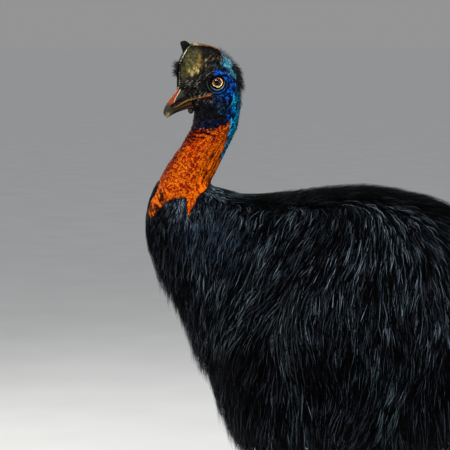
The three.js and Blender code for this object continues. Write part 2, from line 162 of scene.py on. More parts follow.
def rgb(r, g, b):
    """A colour as seen, 0 to 1, made linear."""
    c = np.array([r, g, b], float)
    return np.where(c <= 0.04045, c / 12.92, ((c + 0.055) / 1.055) ** 2.4)


def paint(base, colour, mask):
    return base + (colour - base) * np.asarray(mask)[..., None]


# ------------------------------------------------------------------ the body's own shape
HEAD_HALF, CROWN_Z, TS, TZ, NECK_HALF = 40, 1288, -52.5, 1150, 43
BREAST_Y, BREAST_Z, BODY_HALF, HEM_Z, RUMP_Y, CREST_Y, BACK_Z, AXIS_Y = -405, 912, 206, 398, 473, 70, 1000, -248
HEAD_YAW = 22


def hd(ds, dz, vs, vz, half, mid):
    return [AXIS_Y + ds, dz, AXIS_Y + vs, vz, half, mid]


STATIONS = np.array([
    hd(-92, 1212, TS - 5, TZ + 16.5, 15.5, 0.46), hd(-76, 1230, TS - 3, TZ + 13, 21, 0.47), hd(-51, 1252, TS - 1.5, TZ + 10, 28.5, 0.48),
    hd(-26, 1271, TS - 0.7, TZ + 7.5, HEAD_HALF - 5.5, 0.49), hd(-1, CROWN_Z - 2, TS - 0.2, TZ + 5, HEAD_HALF - 2.2, 0.5),
    hd(21, CROWN_Z - 10, TS, TZ + 2.6, HEAD_HALF - 0.5, 0.52), hd(40.5, 1255, TS, TZ, HEAD_HALF, 0.53), hd(50, 1225, TS + 0.1, TZ - 4, HEAD_HALF, 0.53),
    hd(53, 1196, TS, TZ - 8.5, HEAD_HALF, 0.52), hd(51.5, 1170, TS - 0.3, TZ - 14, HEAD_HALF + 0.5, 0.51), hd(48.5, 1148, TS - 1.6, TZ - 21, NECK_HALF - 1.5, 0.5),
    hd(43.5, 1125, TS - 6, TZ - 30, NECK_HALF - 1, 0.5), hd(32.5, 1100, TS - 16.5, TZ - 46, NECK_HALF - 0.6, 0.5), hd(19.5, 1073, TS - 26.5, TZ - 65, NECK_HALF, 0.5),
    hd(6, 1046, TS - 42.5, TZ - 87, NECK_HALF + 1, 0.5), hd(-6, 1022, TS - 57, TZ - 109, NECK_HALF + 4, 0.5), hd(-14, 1004, TS - 72.5, TZ - 136, NECK_HALF + 11, 0.5),
    [-255, 994, -388, 986, 66, 0.5], [-238, 989, -399, 953, 84, 0.5], [-207, 981, BREAST_Y + 0.5, BREAST_Z, 103, 0.5], [-163, 980, -401, 863, 122, 0.5],
    [-110, 984, -385, 804, 141, 0.5], [-55, 991, -352, 742, 158, 0.49], [-4, 996.5, -314, 663, 174, 0.48], [35, 999, -277, 595, BODY_HALF - 17, 0.47],
    [CREST_Y, BACK_Z, -250, 524, BODY_HALF - 6, 0.46], [110, 997, -207, 454, BODY_HALF, 0.46], [158, 989.5, -148, HEM_Z + 12, BODY_HALF, 0.46],
    [209, 978, -70, HEM_Z, BODY_HALF - 2, 0.47], [259, 960, 18, HEM_Z - 1, BODY_HALF - 6, 0.48], [306, 936, 108, HEM_Z + 3, BODY_HALF - 15, 0.49],
    [350, 904, 186, HEM_Z + 16, BODY_HALF - 28, 0.5], [390, 863, 256, HEM_Z + 38, BODY_HALF - 46, 0.5], [423, 813, 318, HEM_Z + 68, BODY_HALF - 69, 0.5],
    [449, 755, 370, HEM_Z + 106, BODY_HALF - 96, 0.5], [466, 694, 411, HEM_Z + 150, BODY_HALF - 126, 0.5], [RUMP_Y, 637, 441, HEM_Z + 190, BODY_HALF - 160, 0.5],
], float)
LAST = len(STATIONS) - 1
PADDED = np.vstack([2 * STATIONS[0] - STATIONS[1], STATIONS, 2 * STATIONS[-1] - STATIONS[-2]])


def rows(k):
    k = np.clip(k, 0, LAST - 1e-9)
    i = np.floor(k).astype(int)
    t = (k - i)[..., None]
    p0, p1, p2, p3 = PADDED[i], PADDED[i + 1], PADDED[i + 2], PADDED[i + 3]
    m1, m2 = 0.5 * (p2 - p0), 0.5 * (p3 - p1)
    return p1 + t * m1 + t * t * (-3 * p1 + 3 * p2 - 2 * m1 - m2) + t**3 * (2 * p1 - 2 * p2 + m1 + m2)


def turned(p, angle):
    x, y, z = p[..., 0], p[..., 1] - AXIS_Y, p[..., 2]
    c, s = np.cos(angle), np.sin(angle)
    return np.stack([c * x - s * y, AXIS_Y + s * x + c * y, z], -1)


def yaw(k):
    return np.radians(HEAD_YAW) * (1 - smooth(k, 8.5, 14.5))


def surface(k, a, grow=0.0, turn=True):
    """The outside of the plumage: k is the station, a the angle from the back's midline over the left side."""
    k, a, grow = np.broadcast_arrays(np.asarray(k, float), np.asarray(a, float), np.asarray(grow, float))
    r = rows(k)
    dy, dz, vy, vz, half, mid = [r[..., n] for n in range(6)]
    uy, uz = dy - vy, dz - vz
    span = np.hypot(uy, uz)
    uy, uz = uy / span, uz / span
    c, s = np.cos(a), np.sin(a)
    low, q = c < 0, smooth(k, 18, 26)
    flank = 0.95 + (np.where(low, 0.66, 0.8) - 0.95) * q
    ridge = 0.98 + (np.where(low, 0.9, 1.06) - 0.98) * q
    rise = np.where(low, -np.maximum(span * mid + grow, 2), np.maximum(span * (1 - mid) + grow, 2)) * np.abs(c) ** ridge
    x = np.maximum(half + grow, 2) * np.sign(s) * np.abs(s) ** flank
    p = np.stack([x, vy + uy * (span * mid + rise), vz + uz * (span * mid + rise)], -1)
    return turned(p, yaw(k)) if turn else p


def around(k, a, grow=0.0):
    """Unit normal outwards, and the steps per unit of k and of a."""
    e = 0.02
    dk = (surface(np.minimum(k + e, LAST), a, grow) - surface(np.maximum(k - e, 0), a, grow)) / (np.minimum(k + e, LAST) - np.maximum(k - e, 0))[..., None]
    e = 0.012
    da = (surface(k, a + e, grow) - surface(k, a - e, grow)) / (2 * e)
    return unit(np.cross(da, dk)), dk, da


# the lower edge of the bare neck: where the plumage starts, by the angle from the nape
BARE_A = [0, 30, 47, 64, 72, 78, 81.5, 82.6, 83.6, 86, 92, 101, 109, 116, 125, 134.5, 147, 153, 160, 164, 168, 174, 180]
BARE_K = [16.25, 16.6, 17.12, 17.74, 18.08, 18.62, 19.4, 18.9, 18.35, 17.8, 17.65, 17.65, 17.6, 17.7, 17.95, 18.3, 18.6, 18.62, 18.5, 18.4, 18.25, 17.6, 16.2]
FRONT_K = [15.9, 16.1, 16.28, 16.67, 16.91, 17.14, 17.36, 17.58, 17.83, 18.09, 18.3, 18.7]
FRONT_A = [185, 172, 160, 153, 153, 157, 162, 165, 168, 170, 175, 185]


def side_angle(a):
    """The angle from the dorsal line, 0 to 180 degrees on either side."""
    return np.degrees(np.abs((np.asarray(a) + np.pi) % (2 * np.pi) - np.pi))


def bare_edge(a, k):
    """The station where plumage starts at this angle; the hindmost lobe of bare skin leans forward as it runs down."""
    sa = side_angle(a)
    lean = 9.0 * np.clip(np.asarray(k, float) - 17.8, 0, 1.6) * bell(sa - 92, 14.0)
    edge = np.interp(sa - lean, BARE_A, BARE_K)
    # a narrow tract of feathers runs up the front
    tract = smooth(sa - np.interp(k, FRONT_K, FRONT_A), -1.5, 2.5)
    return mix(edge, np.minimum(edge, np.asarray(k) - 0.35), tract)


def inset(k, a):
    """How deep the skin lies under the outside of the coat."""
    under = -np.cos(a)
    edge = bare_edge(a, k)
    d = 0.3 + 7.0 * smooth(k - edge, -0.2, 1.0) + 23 * smooth(k, 18.5, 22.5)
    d = d + 16 * smooth(k, 30, 34) + 34 * smooth(under, 0.25, 0.85) * smooth(k, 21, 27)
    return d


# ------------------------------------------------------------------ meshes
def mesh_object(name, verts, faces, uv=None, colour=None, values=None, flat=False, slots=None):
    """faces: a list of arrays of quads and triangles; uv: one row for each corner, in that order."""
    me = bpy.data.meshes.new(name)
    faces = [np.asarray(f, np.int32) for f in (faces if isinstance(faces, list) else [faces]) if len(f)]
    loops = np.concatenate([f.ravel() for f in faces])
    sizes = np.concatenate([np.full(len(f), f.shape[1], np.int32) for f in faces])
    starts = np.concatenate([[0], np.cumsum(sizes)[:-1]]).astype(np.int32)
    me.vertices.add(len(verts))
    me.vertices.foreach_set("co", np.asarray(verts, np.float32).ravel())
    me.loops.add(len(loops))
    me.loops.foreach_set("vertex_index", loops)
    me.polygons.add(len(sizes))
    me.polygons.foreach_set("loop_start", starts)
    me.polygons.foreach_set("use_smooth", np.full(len(sizes), not flat))
    if slots is not None:
        me.polygons.foreach_set("material_index", np.asarray(slots, np.int32))
    me.update(calc_edges=True)
    if uv is not None:
        layer = me.uv_layers.new(name="OFBake")
        layer.data.foreach_set("uv", np.asarray(uv, np.float32).ravel())
    if colour is not None:
        at = me.attributes.new("col", "FLOAT_COLOR", "POINT")
        rgba = np.ones((len(verts), 4), np.float32)
        rgba[:, :3] = np.clip(colour, 0, 1)
        at.data.foreach_set("color", rgba.ravel())
    for key, value in (values or {}).items():
        at = me.attributes.new(key, "FLOAT", "POINT")
        at.data.foreach_set("value", np.asarray(value, np.float32).ravel())
    ob = bpy.data.objects.new(name, me)
    bpy.context.scene.collection.objects.link(ob)
    TALLY[name] = int((sizes - 2).sum())
    return ob


def grid_faces(n_rings, n_cols, wrap=True):
    i = np.arange(n_rings - 1)[:, None]
    j = np.arange(n_cols if wrap else n_cols - 1)[None, :]
    jn = (j + 1) % n_cols
    a, b, c, d = i * n_cols + j, i * n_cols + jn, (i + 1) * n_cols + jn, (i + 1) * n_cols + j
    return np.stack([a, b, c, d], -1).reshape(-1, 4)


def grid_uv(us, vs, wrap=True):
    """us has one more entry than there are columns where the grid wraps."""
    n_rings = len(vs)
    n_cols = len(us) - 1
    i = np.arange(n_rings - 1)[:, None]
    j = np.arange(n_cols)[None, :]
    quad = [(i, j), (i, j + 1), (i + 1, j + 1), (i + 1, j)]
    out = np.stack([np.stack(np.broadcast_arrays(us[c], vs[r]), -1) for r, c in quad], 2)
    return out.reshape(-1, 2)


def lofted(sections, caps=True):
    """A closed tube from an array (rings, corners, 3). Returns vertices and faces, turned outwards."""
    sections = np.asarray(sections, float)
    n, m = sections.shape[:2]
    verts = sections.reshape(-1, 3)
    faces = [grid_faces(n, m)]
    if caps:
        verts = np.vstack([verts, sections[0].mean(0), sections[-1].mean(0)])
        j = np.arange(m)
        jn = (j + 1) % m
        faces.append(np.stack([jn, j, np.full(m, n * m)], -1))
        faces.append(np.stack([(n - 1) * m + j, (n - 1) * m + jn, np.full(m, n * m + 1)], -1))
    q = faces[0]
    v = verts - verts.mean(0)
    vol = np.einsum("ij,ij->i", v[q[:, 0]], np.cross(v[q[:, 1]], v[q[:, 2]])).sum()
    if vol < 0:
        faces = [f[:, ::-1] for f in faces]
    return verts, faces


def joined(parts):
    """Vertices and faces of several shells as one mesh."""
    verts, faces, base = [], {3: [], 4: []}, 0
    for v, fs in parts:
        verts.append(v)
        for f in fs:
            faces[f.shape[1]].append(f + base)
        base += len(v)
    return np.vstack(verts), [np.vstack(f) for f in faces.values() if f]


def vertex_normals(verts, faces):
    n = np.zeros_like(verts)
    for f in faces:
        a, b, c = verts[f[:, 0]], verts[f[:, 1]], verts[f[:, 2]]
        fn = np.cross(b - a, c - a)
        if f.shape[1] == 4:
            fn = np.cross(verts[f[:, 2]] - a, verts[f[:, 3]] - b)
        for j in range(f.shape[1]):
            np.add.at(n, f[:, j], fn)
    return unit(n)


def spline(points, t):
    """Catmull-Rom through rows of points, at t from 0 to 1."""
    p = np.asarray(points, float)
    pad = np.vstack([2 * p[0] - p[1], p, 2 * p[-1] - p[-2]])
    x = np.clip(np.asarray(t, float), 0, 1) * (len(p) - 1)
    i = np.minimum(np.floor(x).astype(int), len(p) - 2)
    f = (x - i)[..., None]
    p0, p1, p2, p3 = pad[i], pad[i + 1], pad[i + 2], pad[i + 3]
    m1, m2 = 0.5 * (p2 - p0), 0.5 * (p3 - p1)
    return p1 + f * m1 + f * f * (-3 * p1 + 3 * p2 - 2 * m1 - m2) + f**3 * (2 * p1 - 2 * p2 + m1 + m2)


# ------------------------------------------------------------------ materials
def material(name, rough=0.5, vary=0.15, vary_size=2.5, bumps=(), spec=0.5, coat=0.0, coat_rough=0.1, rough_vary=0.1, sheen=0.0):
    """Colour from the surface's own paint, varied by noise; sizes in millimetres.
    bumps: (kind, size, depth, mask attribute or None)."""
    m = bpy.data.materials.new(name)
    m.use_nodes = True
    nt = m.node_tree
    new = nt.nodes.new
    link = nt.links.new
    p = nt.nodes["Principled BSDF"]
    p.inputs["Specular IOR Level"].default_value = spec
    p.inputs["Coat Weight"].default_value = coat
    p.inputs["Coat Roughness"].default_value = coat_rough
    p.inputs["Sheen Weight"].default_value = sheen
    at = new("ShaderNodeAttribute")
    at.attribute_name = "col"
    tc = new("ShaderNodeTexCoord")
    nz = new("ShaderNodeTexNoise")
    nz.inputs["Scale"].default_value = 1000.0 / vary_size
    nz.inputs["Detail"].default_value = 4
    link(tc.outputs["Object"], nz.inputs["Vector"])
    mr = new("ShaderNodeMapRange")
    mr.inputs["From Min"].default_value, mr.inputs["From Max"].default_value = 0.3, 0.7
    mr.inputs["To Min"].default_value, mr.inputs["To Max"].default_value = 1 - vary, 1 + vary
    link(nz.outputs["Fac"], mr.inputs["Value"])
    sc = new("ShaderNodeVectorMath")
    sc.operation = "SCALE"
    link(at.outputs["Color"], sc.inputs[0])
    link(mr.outputs["Result"], sc.inputs["Scale"])
    link(sc.outputs["Vector"], p.inputs["Base Color"])
    rr = new("ShaderNodeMapRange")
    rr.inputs["From Min"].default_value, rr.inputs["From Max"].default_value = 0.3, 0.7
    rr.inputs["To Min"].default_value, rr.inputs["To Max"].default_value = max(0.02, rough - rough_vary), min(1, rough + rough_vary)
    link(nz.outputs["Fac"], rr.inputs["Value"])
    link(rr.outputs["Result"], p.inputs["Roughness"])
    last = None
    for kind, size, depth, mask in bumps:
        if kind == "cells":
            tx = new("ShaderNodeTexVoronoi")
            tx.inputs["Scale"].default_value = 1000.0 / size
            out = tx.outputs["Distance"]
            depth = -depth
        elif kind == "lines":
            tx = new("ShaderNodeTexWave")
            tx.bands_direction = "Z"
            tx.inputs["Scale"].default_value = 1000.0 / size / 20
            tx.inputs["Distortion"].default_value = 3
            tx.inputs["Detail"].default_value = 2
            out = tx.outputs["Fac"]
        else:
            tx = new("ShaderNodeTexNoise")
            tx.inputs["Scale"].default_value = 1000.0 / size
            tx.inputs["Detail"].default_value = 5
            out = tx.outputs["Fac"]
        link(tc.outputs["Object"], tx.inputs["Vector"])
        bump = new("ShaderNodeBump")
        bump.inputs["Distance"].default_value = abs(depth) / 1000.0
        bump.invert = depth < 0
        if mask:
            ma = new("ShaderNodeAttribute")
            ma.attribute_name = mask
            link(ma.outputs["Fac"], bump.inputs["Strength"])
        link(out, bump.inputs["Height"])
        if last is not None:
            link(last.outputs["Normal"], bump.inputs["Normal"])
        last = bump
    if last is not None:
        link(last.outputs["Normal"], p.inputs["Normal"])
    return m


def dress(ob, mat, slot, *nodes):
    if mat is not None:
        ob.data.materials.append(mat)
    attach(ob, "root")
    if nodes:
        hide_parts(*nodes)
    return ob


# ------------------------------------------------------------------ camera, floor, lights
def stage():
    sc = bpy.context.scene
    sc.view_settings.view_transform = "Standard"
    cam = bpy.data.cameras.new("camera")
    cam.sensor_width = 36.0
    cam.lens = 167.27
    cam.clip_start, cam.clip_end = 0.05, 900
    eye = bpy.data.objects.new("camera", cam)
    sc.collection.objects.link(eye)
    target = Vector((0, -0.26536, 0.9098))
    e = math.radians(5)
    eye.location = target + 4.6 * Vector((math.cos(e), 0, math.sin(e)))
    eye.rotation_mode = "QUATERNION"
    eye.rotation_quaternion = (target - eye.location).to_track_quat("-Z", "Y")
    sc.camera = eye

    n = 96
    r = 420.0
    v = [(r * math.cos(2 * math.pi * j / n), r * math.sin(2 * math.pi * j / n), 0) for j in range(n)]
    me = bpy.data.meshes.new("floor")
    me.from_pydata(v, [], [tuple(range(n))])
    floor = bpy.data.objects.new("floor", me)
    sc.collection.objects.link(floor)
    m = bpy.data.materials.new("floor")
    m.use_nodes = True
    nt = m.node_tree
    p = nt.nodes["Principled BSDF"]
    p.inputs["Roughness"].default_value = 0.9
    p.inputs["Specular IOR Level"].default_value = 0.1
    nz = nt.nodes.new("ShaderNodeTexNoise")
    nz.inputs["Scale"].default_value = 3
    tc = nt.nodes.new("ShaderNodeTexCoord")
    ramp = nt.nodes.new("ShaderNodeValToRGB")
    ramp.color_ramp.elements[0].position, ramp.color_ramp.elements[1].position = 0.3, 0.7
    ramp.color_ramp.elements[0].color = (0.77, 0.77, 0.755, 1)
    ramp.color_ramp.elements[1].color = (0.81, 0.81, 0.795, 1)
    nt.links.new(tc.outputs["Object"], nz.inputs["Vector"])
    nt.links.new(nz.outputs["Fac"], ramp.inputs["Fac"])
    nt.links.new(ramp.outputs["Color"], p.inputs["Base Color"])
    me.materials.append(m)

    # an even pale sky that meets the floor without a line
    w = bpy.data.worlds.new("studio")
    w.use_nodes = True
    nt = w.node_tree
    bg = nt.nodes["Background"]
    tc = nt.nodes.new("ShaderNodeTexCoord")
    sep = nt.nodes.new("ShaderNodeSeparateXYZ")
    ramp = nt.nodes.new("ShaderNodeValToRGB")
    ramp.color_ramp.interpolation = "EASE"
    ramp.color_ramp.elements[0].position, ramp.color_ramp.elements[1].position = 0.03, 0.35
    ramp.color_ramp.elements[0].color = (0.295, 0.298, 0.295, 1)
    ramp.color_ramp.elements[1].color = (0.36, 0.37, 0.385, 1)
    nt.links.new(tc.outputs["Generated"], sep.inputs["Vector"])
    nt.links.new(sep.outputs["Z"], ramp.inputs["Fac"])
    nt.links.new(ramp.outputs["Color"], bg.inputs["Color"])
    bg.inputs["Strength"].default_value = 1.0
    sc.world = w

    def area(name, at, aim, size, power, tint=(1, 1, 1)):
        li = bpy.data.lights.new(name, "AREA")
        li.shape = "RECTANGLE"
        li.size, li.size_y = size
        li.energy = power
        li.color = tint
        ob = bpy.data.objects.new(name, li)
        sc.collection.objects.link(ob)
        ob.location = at
        ob.rotation_mode = "QUATERNION"
        ob.rotation_quaternion = (Vector(aim) - Vector(at)).to_track_quat("-Z", "Y")

    area("key", (3.1, -1.25, 3.7), (0, -0.2, 0.95), (1.7, 1.5), 205, (1.0, 0.97, 0.93))
    area("fill", (3.2, 2.6, 1.7), (0, 0.1, 0.7), (2.4, 2.0), 26, (0.92, 0.96, 1.0))
    area("rim", (-2.2, -2.4, 2.6), (0, -0.2, 1.0), (1.6, 1.6), 50, (1.0, 0.98, 0.95))
    area("far", (-2.6, 2.4, 2.6), (0, 0.0, 0.8), (2.0, 2.0), 36, (0.95, 0.97, 1.0))


# ------------------------------------------------------------------ head: the eye and what lies round it
EYE = dict(x=21.5, s=-9.0, z=1223.6, ball=16.2, forward=16.0)
EC, ES = math.cos(math.radians(EYE["forward"])), math.sin(math.radians(EYE["forward"]))


def eye_frame(x, s, z):
    """Along the eye's axis, backwards and upwards from it, for the left side; x is taken as a size."""
    vx, vs, vz = np.abs(x) - EYE["x"], s - EYE["s"], z - EYE["z"]
    return vx * EC - vs * ES, vx * ES + vs * EC, vz


def eye_opening(theta):
    """Radius of the opening between the lids. theta is 0 backwards, a quarter turn up."""
    r = 11.55 + 0.25 * np.cos(2 * (theta - math.radians(15)))
    return r - 0.9 * bell(((theta - math.radians(128) + np.pi) % (2 * np.pi)) - np.pi, 0.5) - 0.45 * bell(((theta - math.radians(85) + np.pi) % (2 * np.pi)) - np.pi, 0.5)


GAPE = [(-72.5, 1184.2), (-59, 1188.3), (-46, 1191.6), (-38, 1193.6), (-31, 1194.6)]
BROW_LINE = [(-14.5, 2.0), (-12.6, 6.2), (-8.5, 9.9), (-3.5, 12.3), (4, 13.9), (12, 14.6), (19, 14.2)]
CASQUE_FOOT = [(-94, 1210), (-92, 1212), (-81, 1222), (-68, 1232), (-55, 1235), (-43, 1244), (-29, 1255), (-15, 1267), (4, 1283), (14, 1290)]


def foot_line(s):
    return np.interp(s, [p[0] for p in CASQUE_FOOT], [p[1] for p in CASQUE_FOOT])


def lid_radius(back, up):
    return np.hypot(back + 1.3, up + 0.8)


def head_paint(L, k, a, back, up):
    """The colours of the bare skin of head and neck. L: unturned place, forward of the neck axis negative."""
    x, s, z = L[..., 0], L[..., 1] - AXIS_Y, L[..., 2]
    q = np.stack([x, s, z], -1)
    r, theta = np.hypot(back, up), np.arctan2(up, back)
    rf = lid_radius(back, up)
    sa = side_angle(a)
    fine = noise(q, 1.5, 11)
    speck = noise(q, 2.5, 12)
    mid = fractal(q, 7, 13)
    wide = fractal(q, 18, 14)
    dapple = 1.5 * noise(q, 4.0, 21)
    dapple2 = 1.5 * noise(q, 6.4, 22)
    f1, f2, who = cells(q, 2.7, 15)
    # painted shade: darker in the creases between the skin's small cells, which head_shape also sinks
    crease_shade = 1 - smooth(f2 - f1, 0.02, 0.30)
    slant = noise(np.stack([(s * 0.64 - z * 0.77), (s * 0.77 + z * 0.64) * 0.24, x * 0.6], -1), 1.7, 16)
    slant2 = noise(np.stack([(s * 0.64 - z * 0.77), (s * 0.77 + z * 0.64) * 0.3, x * 0.6], -1), 4.2, 17)

    # lores and cheek: charcoal, with short grey-tan strokes up to the casque
    c = paint(np.broadcast_to(rgb(0.05, 0.048, 0.046), q.shape).copy(), rgb(0.125, 0.12, 0.108), smooth(slant2 + 0.5 * dapple, 0.0, 0.8))
    tan_area = bell(np.hypot((s + 47) / 19, (z - 1214) / 20), 1.0) + 0.9 * bell(np.hypot((s + 46) / 26, (z - 1184) / 8), 1.0) + 0.7 * bell(np.hypot((s + 30) / 14, (z - 1243) / 12), 1.0)
    c = paint(c, rgb(0.42, 0.41, 0.35), np.clip(1.2 * tan_area, 0, 1) * smooth(slant + 0.30 * dapple + 0.2 * fine, 0.34, 0.60) * 0.75)
    c = paint(c, rgb(0.022, 0.02, 0.024), 0.8 * smooth(-slant - 0.4 * dapple, 0.15, 0.6))
    # wrinkled cere along the foot of the casque: painted shade in the troughs of the wrinkles and painted highlight on
    # their crests
    below = foot_line(s) - z
    bands = np.sin(2 * np.pi * (below + 1.6 * mid + 0.25 * (s + 80)) / 4.3)
    cere = smooth(-s, 60, 68) * smooth(below, -8, -3) * smooth(-below, -16, -9)
    c = paint(c, rgb(0.03, 0.028, 0.03), 0.95 * cere * smooth(-bands, -0.3, 0.4))
    c = paint(c, rgb(0.44, 0.43, 0.39), 0.75 * cere * smooth(bands + 0.5 * dapple, 0.8, 1.2))
    # the top of the head above the eye, slate
    upper = smooth(z, 1234, 1246) * smooth(s, -30, -12)
    c = paint(c, mix(rgb(0.045, 0.055, 0.065), rgb(0.14, 0.175, 0.19), smooth(mid + 0.6 * dapple, 0.0, 0.8)[..., None]), 0.85 * upper)
    # throat and chin
    throat = smooth(-inside(s, z, [(-95, 1176), (-62, 1173), (-45, 1176), (-24, 1178), (-16, 1196), (30, 1196), (60, 1150), (60, 1100), (-95, 1100)]) + 1.6 * mid, 2.0, -2.0)
    c = paint(c, rgb(0.022, 0.021, 0.028), throat)
    c = paint(c, rgb(0.070, 0.066, 0.085), 0.55 * throat * smooth(dapple + 0.6 * mid, 0.1, 0.8))
    c = paint(c, rgb(0.20, 0.045, 0.15), 0.75 * throat * smooth(sa, 148, 168) * smooth(z, 1112, 1122) * smooth(-z, -1156, -1140) * smooth(dapple, -0.5, 0.4))
    # under and behind the eye: dark slate-violet with blue
    slate = bell(np.hypot((s + 2) / 26, (z - 1186) / 15), 1.0)
    c = paint(c, rgb(0.05, 0.065, 0.14), np.clip(1.3 * slate, 0, 1) * smooth(mid, -0.9, 0.3) * 0.85)
    c = paint(c, rgb(0.10, 0.20, 0.36), np.clip(1.2 * slate, 0, 1) * smooth(dapple + 0.5 * mid, 0.15, 0.7) * 0.7)
    # the ear: a broken patch of teal-grey
    er = np.hypot((s + 5.5) / 12.5, (z - 1165.5) / 15)
    ear = smooth(1.0 - er + 0.45 * mid, -0.05, 0.45)
    c = paint(c, rgb(0.035, 0.07, 0.12), 0.75 * ear)
    c = paint(c, rgb(0.085, 0.20, 0.28), 0.75 * ear * smooth(dapple + 0.4 * dapple2 + 0.3 * fine, 0.05, 0.65))
    # blue-black net above the orange, with flecks of blue
    low = smooth(z, 1112, 1120) * smooth(-z, -1151, -1138) * smooth(sa, 100, 62) + smooth(z, 1112, 1120) * smooth(-z, -1146, -1136) * smooth(sa, 60, 90) * smooth(-sa, -158, -140)
    low = np.clip(low, 0, 1)
    g1, g2, gwho = cells(q, 4.6, 18)
    c = paint(c, rgb(0.03, 0.045, 0.12), 0.9 * low * smooth(mid, -0.8, 0.2))
    c = paint(c, rgb(0.07, 0.15, 0.38), 0.85 * low * smooth(g2 - g1, 0.1, 0.5) * smooth(dapple2 + 0.4 * speck, 0.10, 0.6))
    c = paint(c, rgb(0.015, 0.015, 0.03), 0.75 * low * smooth(-(g2 - g1), -0.16, -0.04))
    c = paint(c, rgb(0.03, 0.22, 0.52), 0.85 * smooth(s, 0, 16) * smooth(z, 1128, 1140) * smooth(-z, -1176, -1158) * smooth(dapple + 0.4 * fine, 0.0, 0.5))
    # vivid blue above and behind the eye
    deg = np.degrees(np.arctan2(z - 1223, s + 15))
    reach = np.interp(deg, [-180, -120, -95, -84, -70, -55, -42, -30, 0, 27, 53, 80, 98, 112, 125, 150, 180],
                      [10, 14, 22, 28, 35, 44, 57, 47, 43, 32, 28, 27, 25, 19, 11, 8, 8])
    away = np.hypot(z - 1223, s + 15)
    blue = smooth(reach - away + 2.6 * mid + 2.0 * dapple + 1.5 * speck, -3.2, 2.6)
    ring = noise(np.stack([rf, np.degrees(theta) * 0.10, 0 * r], -1), 2.6, 19)
    tone = paint(np.broadcast_to(rgb(0.02, 0.235, 0.56), q.shape).copy(), rgb(0.01, 0.12, 0.34), smooth(wide + 0.5 * dapple2, -0.1, 0.6))
    tone = paint(tone, rgb(0.06, 0.35, 0.82), 0.80 * smooth(dapple + 0.3 * fine + 0.3 * mid, 0.25, 0.9))
    tone = paint(tone, rgb(0.005, 0.03, 0.12), 0.9 * smooth(-dapple - 0.4 * mid, 0.15, 0.7))
    tone = paint(tone, rgb(0.005, 0.03, 0.12), 0.85 * smooth(ring + 0.3 * fine, 0.18, 0.55))
    # painted shade in the creases
    tone = paint(tone, rgb(0.005, 0.03, 0.10), 0.6 * crease_shade)
    tone = paint(tone, rgb(0.10, 0.46, 0.95), 0.55 * smooth(speck + 0.5 * dapple, 0.2, 0.6))
    tone = paint(tone, rgb(0.004, 0.02, 0.09), 0.75 * smooth(-speck - 0.2 * dapple, 0.12, 0.45))
    c = paint(c, tone, blue)
    # pale sky patch at the back of the crown
    patch = inside(s, z, [(-1, 1264), (3, 1281), (11, 1290), (25, 1286), (38, 1274), (48, 1256), (50, 1240), (42, 1228), (32, 1228), (22, 1236), (14, 1248), (5, 1256)])
    pale = smooth(patch + 3.2 * mid + 2.2 * dapple, -4.5, 4.5) * smooth(k, 3.4, 4.0)
    sky = paint(np.broadcast_to(rgb(0.23, 0.47, 0.56), q.shape).copy(), rgb(0.12, 0.31, 0.42), smooth(mid + 0.6 * dapple, -0.1, 0.6))
    sky = paint(sky, rgb(0.42, 0.66, 0.75), 0.75 * smooth(dapple + 0.5 * dapple2 + 0.3 * fine, 0.2, 0.9))
    sky = paint(sky, rgb(0.08, 0.17, 0.22), 0.6 * smooth(-dapple2 - 0.4 * speck, 0.25, 0.8))
    c = paint(c, sky, pale)
    # a small knob with a raised tan rim, behind the foot of the casque
    knob = np.hypot(s + 2, (z - 1276) / 1.25)
    c = paint(c, rgb(0.03, 0.026, 0.024), 0.9 * smooth(-knob, -8.5, -6.5))
    c = paint(c, rgb(0.40, 0.30, 0.19), 0.9 * bell(knob - 4.2, 1.3) * np.clip(0.8 + 0.5 * dapple, 0, 1))
    # dark bristly nape
    tuft = bell(np.hypot((s - 50) / 11, (z - 1224) / 17), 1.0)
    c = paint(c, rgb(0.06, 0.08, 0.09), np.clip(1.5 * tuft, 0, 1) * smooth(mid + 0.4 * dapple, -0.9, 0.2) * 0.92)
    # fine grit
    grit = noise(q, 2.3, 23)
    grit2 = noise(np.stack([(s * 0.64 - z * 0.77), (s * 0.77 + z * 0.64) * 0.35, x * 0.6], -1), 1.9, 24)
    c = c * np.clip(1 + (1.5 * grit + 1.3 * grit2) * (1 - 0.6 * blue) * (1 - 0.6 * pale), 0.2, 2.6)[..., None]
    c = np.clip(c, 0, 0.9)
